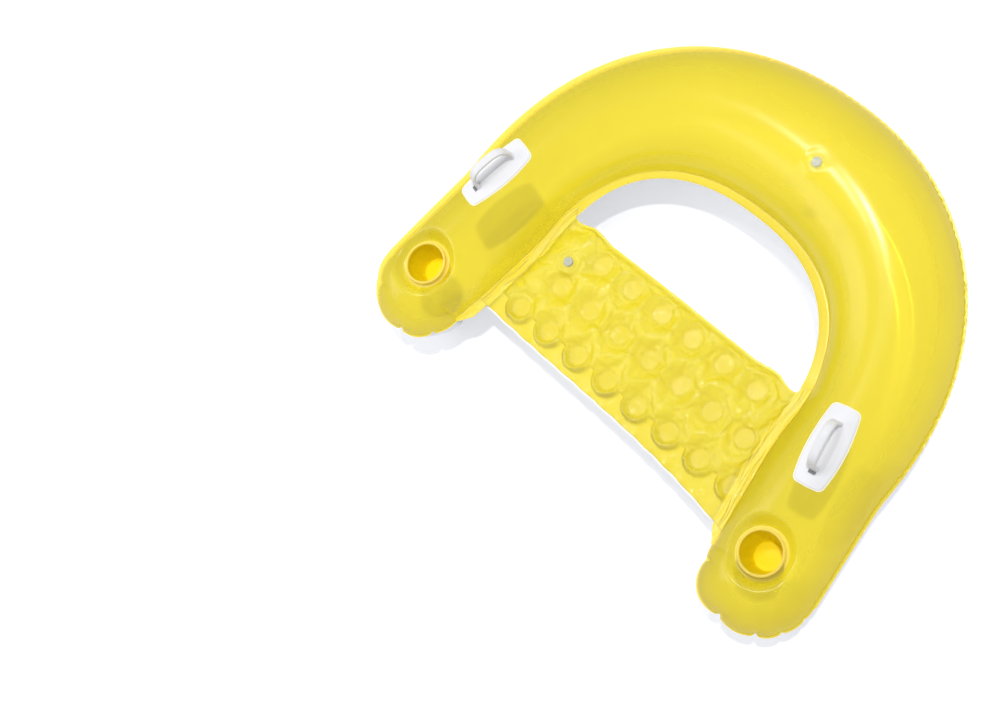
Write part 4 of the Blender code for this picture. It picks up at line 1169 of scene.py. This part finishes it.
SETTINGS = {"pool_chair_film": PoolChairFilm, "pool_chair_tube": PoolChairTube,
            "pool_chair_seat": PoolChairSeat, "pool_chair_fittings": PoolChairFittings,
            "pool_chair_stage": PoolChairStage}
FINISHES = {}


def finish_of(word, scene):
    """A finish of the chair, made once."""
    look = scene.pool_chair_film
    makers = {
        "yellow film": (film_finish, "Yellow Film", look, look.yellow, look.shade,
                        look.clarity, look.gloss_index, look.gloss_spread),
        "seat film": (film_finish, "Seat Film", look, look.yellow, look.shade,
                      look.seat_clarity, look.seat_gloss_index, look.seat_gloss_spread, True),
        "cup film": (film_finish, "Cup Film", look, look.cup, look.cup_shade, *CUP_GLOSS),
        "cup floor film": (film_finish, "Cup Floor Film", look, look.cup, look.cup_shade,
                           *CUP_FLOOR_GLOSS),
        "white film": (plain_film_finish, "White Film", look, look.white, look.white_shade),
        "moulding": (moulding_finish, "White Moulding", look.moulding, look.moulding_edge),
        "valve": (valve_finish, "Clear Valve Vinyl", look.valve, VALVE_CLARITY),
        "cap": (valve_finish, "Valve Cap Vinyl", look.valve, CAP_CLARITY),
    }
    if word not in FINISHES:
        maker, *values = makers[word]
        FINISHES[word] = maker(*values)
    return FINISHES[word]


# Operators

class CHAIR_OT_float_tube(bpy.types.Operator):
    """Build the two skins of the horseshoe float tube"""
    bl_idname = "pool_chair.float_tube"
    bl_label = "Float Tube"

    def execute(self, context):
        scene = context.scene
        ribs = Ribs()
        folds = Folds(ribs, scene.pool_chair_tube)
        upper = tube_skin("float_tube_upper_skin", 1, ribs, folds,
                          finish_of("yellow film", scene))
        lower = tube_skin("float_tube_lower_skin", -1, ribs, folds,
                          finish_of("white film", scene))
        for item, node, slot in ((upper, "tube_top_sheet", "yellow_vinyl"),
                                 (lower, "tube_bottom_sheet", "white_vinyl")):
            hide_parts(node)
        return {"FINISHED"}


class CHAIR_OT_seat_panel(bpy.types.Operator):
    """Build the spot-welded seat panel and blow it up"""
    bl_idname = "pool_chair.seat_panel"
    bl_label = "Seat Panel"

    def execute(self, context):
        scene = context.scene
        top, bottom = seat_skins(scene.pool_chair_seat, finish_of("seat film", scene),
                                 finish_of("white film", scene))
        for item, node, slot in ((top, "seat_top_sheet", "yellow_vinyl"),
                                 (bottom, "seat_bottom_sheet", "white_vinyl")):
            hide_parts(node)
        return {"FINISHED"}


class CHAIR_OT_cup_pockets(bpy.types.Operator):
    """Build the cup pockets in the arm ends"""
    bl_idname = "pool_chair.cup_pockets"
    bl_label = "Cup Pockets"

    def execute(self, context):
        scene = context.scene
        for side, word in ((1, "right"), (-1, "left")):
            sleeve, floor = cup_sleeve(side, word, scene.pool_chair_fittings,
                                       finish_of("cup film", scene),
                                       finish_of("cup floor film", scene))
            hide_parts("cup_sleeve_" + word)
            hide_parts("cup_floor_" + word)
        return {"FINISHED"}


class CHAIR_OT_grab_handles(bpy.types.Operator):
    """Build the moulded grab handles"""
    bl_idname = "pool_chair.grab_handles"
    bl_label = "Grab Handles"

    def execute(self, context):
        scene = context.scene
        for side, word in ((1, "right"), (-1, "left")):
            item = grab_handle(side, word, scene.pool_chair_fittings,
                               finish_of("moulding", scene))
            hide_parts("grab_handle_" + word)
        return {"FINISHED"}


class CHAIR_OT_air_valves(bpy.types.Operator):
    """Build the push-in air valves of the tube and the seat"""
    bl_idname = "pool_chair.air_valves"
    bl_label = "Air Valves"

    def execute(self, context):
        scene = context.scene
        for word, plan, level in (("tube", TUBE_VALVE, TUBE_VALVE_LEVEL),
                                  ("seat", SEAT_VALVE, SEAT_VALVE_LEVEL)):
            valve_pieces(word, plan, level, finish_of("valve", scene), finish_of("cap", scene))
        return {"FINISHED"}


# Stage

CAMERA_PLACE = (1.202415, -0.171226, 3.112785)
CAMERA_RIGHT = (0.67771, 0.63365, -0.3731)
CAMERA_UP = (-0.59546, 0.7706, 0.22716)
CAMERA_BACK = (0.43145, 0.06822, 0.89955)
CAMERA_LENS, CAMERA_WIDTH, CAMERA_CLIP = 55.613, 36.0, (0.05, 60.0)
# Ways to the lamps, their distances and sizes
SUN_WAY, SUN_ANGLE = (0.130, 0.222, 0.966), math.radians(2.2)
STRIP_WAY, GLINT_WAY, LAMP_AWAY = (-0.15, 0.24, 0.96), (-0.30, 0.10, 0.95), 4.2
STRIP_SIZE, GLINT_SIZE = (0.12, 0.30), 0.14
FILL_WAY, FILL_AWAY, FILL_SIZE = (-0.62, -0.50, 0.60), 4.0, 2.5
# Floor: half its size, how far it lies under the chair, its matt colour and its own glow
FLOOR_REACH, FLOOR_DROP = 14.0, 0.0005
FLOOR_MATT, FLOOR_GLOW = (0.56, 0.57, 0.60), 0.52
SKY_COLOUR, WHITE = (0.97, 0.98, 1.0), (0.98, 0.99, 1.0)


def add_floor(colour):
    """A pale floor that keeps the chair's shadow and is white to the camera beside it."""
    mesh = bpy.data.meshes.new("floor")
    mesh.from_pydata([(x * FLOOR_REACH, y * FLOOR_REACH, 0)
                      for x, y in ((-1, -1), (1, -1), (1, 1), (-1, 1))], [], [(0, 1, 2, 3)])
    floor = bpy.data.objects.new("floor", mesh)
    floor.location.z = -FLOOR_DROP
    bpy.context.scene.collection.objects.link(floor)
    finish = Finish("Pale Floor")
    lit = finish.node("ShaderNodeAddShader", {}, {
        0: finish.plain("BsdfDiffuse", FLOOR_MATT),
        1: finish.plain("Emission", WHITE, Strength=FLOOR_GLOW)})
    mesh.materials.append(finish.close(finish.mixed(
        finish.looked_at(), finish.plain("BsdfDiffuse", colour), lit)))


def studio_world(strength):
    """Even light from all round, which is white where the camera looks past the floor."""
    world = bpy.data.worlds.new("studio")
    world.use_nodes = True
    finish = Finish.on(world.node_tree)
    both = finish.mixed(finish.looked_at(),
                        finish.plain("Background", SKY_COLOUR, Strength=strength),
                        finish.plain("Background", WHITE, Strength=1.0))
    finish.node("ShaderNodeOutputWorld", {}, {"Surface": both})
    return world


def add_light(name, kind, strength, way, away, upright="X", **settings):
    """A lamp in a given way from the chair, which shines back at it."""
    light = bpy.data.lights.new(name, kind)
    light.energy = strength
    for word, value in settings.items():
        setattr(light, word, value)
    item = bpy.data.objects.new(name, light)
    way = Vector(way).normalized()
    item.location = way * away
    item.rotation_euler = way.to_track_quat("Z", upright).to_euler()
    bpy.context.scene.collection.objects.link(item)
    return item


def add_camera():
    """The camera at the photo's view."""
    lens = bpy.data.cameras.new("camera")
    lens.lens, lens.sensor_width = CAMERA_LENS, CAMERA_WIDTH
    lens.clip_start, lens.clip_end = CAMERA_CLIP
    camera = bpy.data.objects.new("camera", lens)
    axes = Matrix((CAMERA_RIGHT, CAMERA_UP, CAMERA_BACK)).transposed()
    camera.matrix_world = Matrix.Translation(CAMERA_PLACE) @ axes.to_4x4()
    bpy.context.scene.collection.objects.link(camera)
    bpy.context.scene.camera = camera


class CHAIR_OT_stage(bpy.types.Operator):
    """Set the floor, the light and the camera"""
    bl_idname = "pool_chair.stage"
    bl_label = "Stage"

    def execute(self, context):
        scene = context.scene
        levels = scene.pool_chair_stage
        add_floor(levels.floor)
        sun = add_light("key_sun", "SUN", levels.sun, SUN_WAY, LAMP_AWAY, angle=SUN_ANGLE)
        sun.visible_glossy = False
        add_light("small_strip", "AREA", levels.strip, STRIP_WAY, LAMP_AWAY, upright="Y",
                  shape="RECTANGLE", size=STRIP_SIZE[0], size_y=STRIP_SIZE[1])
        add_light("seat_glint", "AREA", levels.glint, GLINT_WAY, LAMP_AWAY, shape="DISK",
                  size=GLINT_SIZE)
        add_light("soft_fill", "AREA", levels.fill, FILL_WAY, FILL_AWAY, shape="SQUARE",
                  size=FILL_SIZE)
        scene.world = studio_world(levels.sky)
        add_camera()
        scene.view_settings.view_transform = "Standard"
        return {"FINISHED"}


OPERATORS = (CHAIR_OT_stage, CHAIR_OT_float_tube, CHAIR_OT_seat_panel, CHAIR_OT_cup_pockets,
             CHAIR_OT_grab_handles, CHAIR_OT_air_valves)


class CHAIR_PT_panel(bpy.types.Panel):
    """Sizes, colours and building steps of the pool chair"""
    bl_label = "Pool Chair"
    bl_idname = "CHAIR_PT_panel"
    bl_space_type = "VIEW_3D"
    bl_region_type = "UI"
    bl_category = "Pool Chair"

    def draw(self, context):
        for operator in OPERATORS:
            self.layout.operator(operator.bl_idname)
        for word, group in SETTINGS.items():
            box = self.layout.box()
            box.label(text=group.__doc__)
            for name in group.__annotations__:
                box.prop(getattr(context.scene, word), name)


CLASSES = (*SETTINGS.values(), *OPERATORS, CHAIR_PT_panel)


def register():
    for item in CLASSES:
        bpy.utils.register_class(item)
    for word, group in SETTINGS.items():
        setattr(bpy.types.Scene, word, PointerProperty(type=group))


def unregister():
    for word in SETTINGS:
        delattr(bpy.types.Scene, word)
    for item in reversed(CLASSES):
        bpy.utils.unregister_class(item)


def main():
    register()
    bpy.ops.pool_chair.stage()
    bpy.ops.pool_chair.float_tube()
    bpy.ops.pool_chair.seat_panel()
    bpy.ops.pool_chair.cup_pockets()
    bpy.ops.pool_chair.grab_handles()
    bpy.ops.pool_chair.air_valves()


if __name__ == "__main__":
    main()
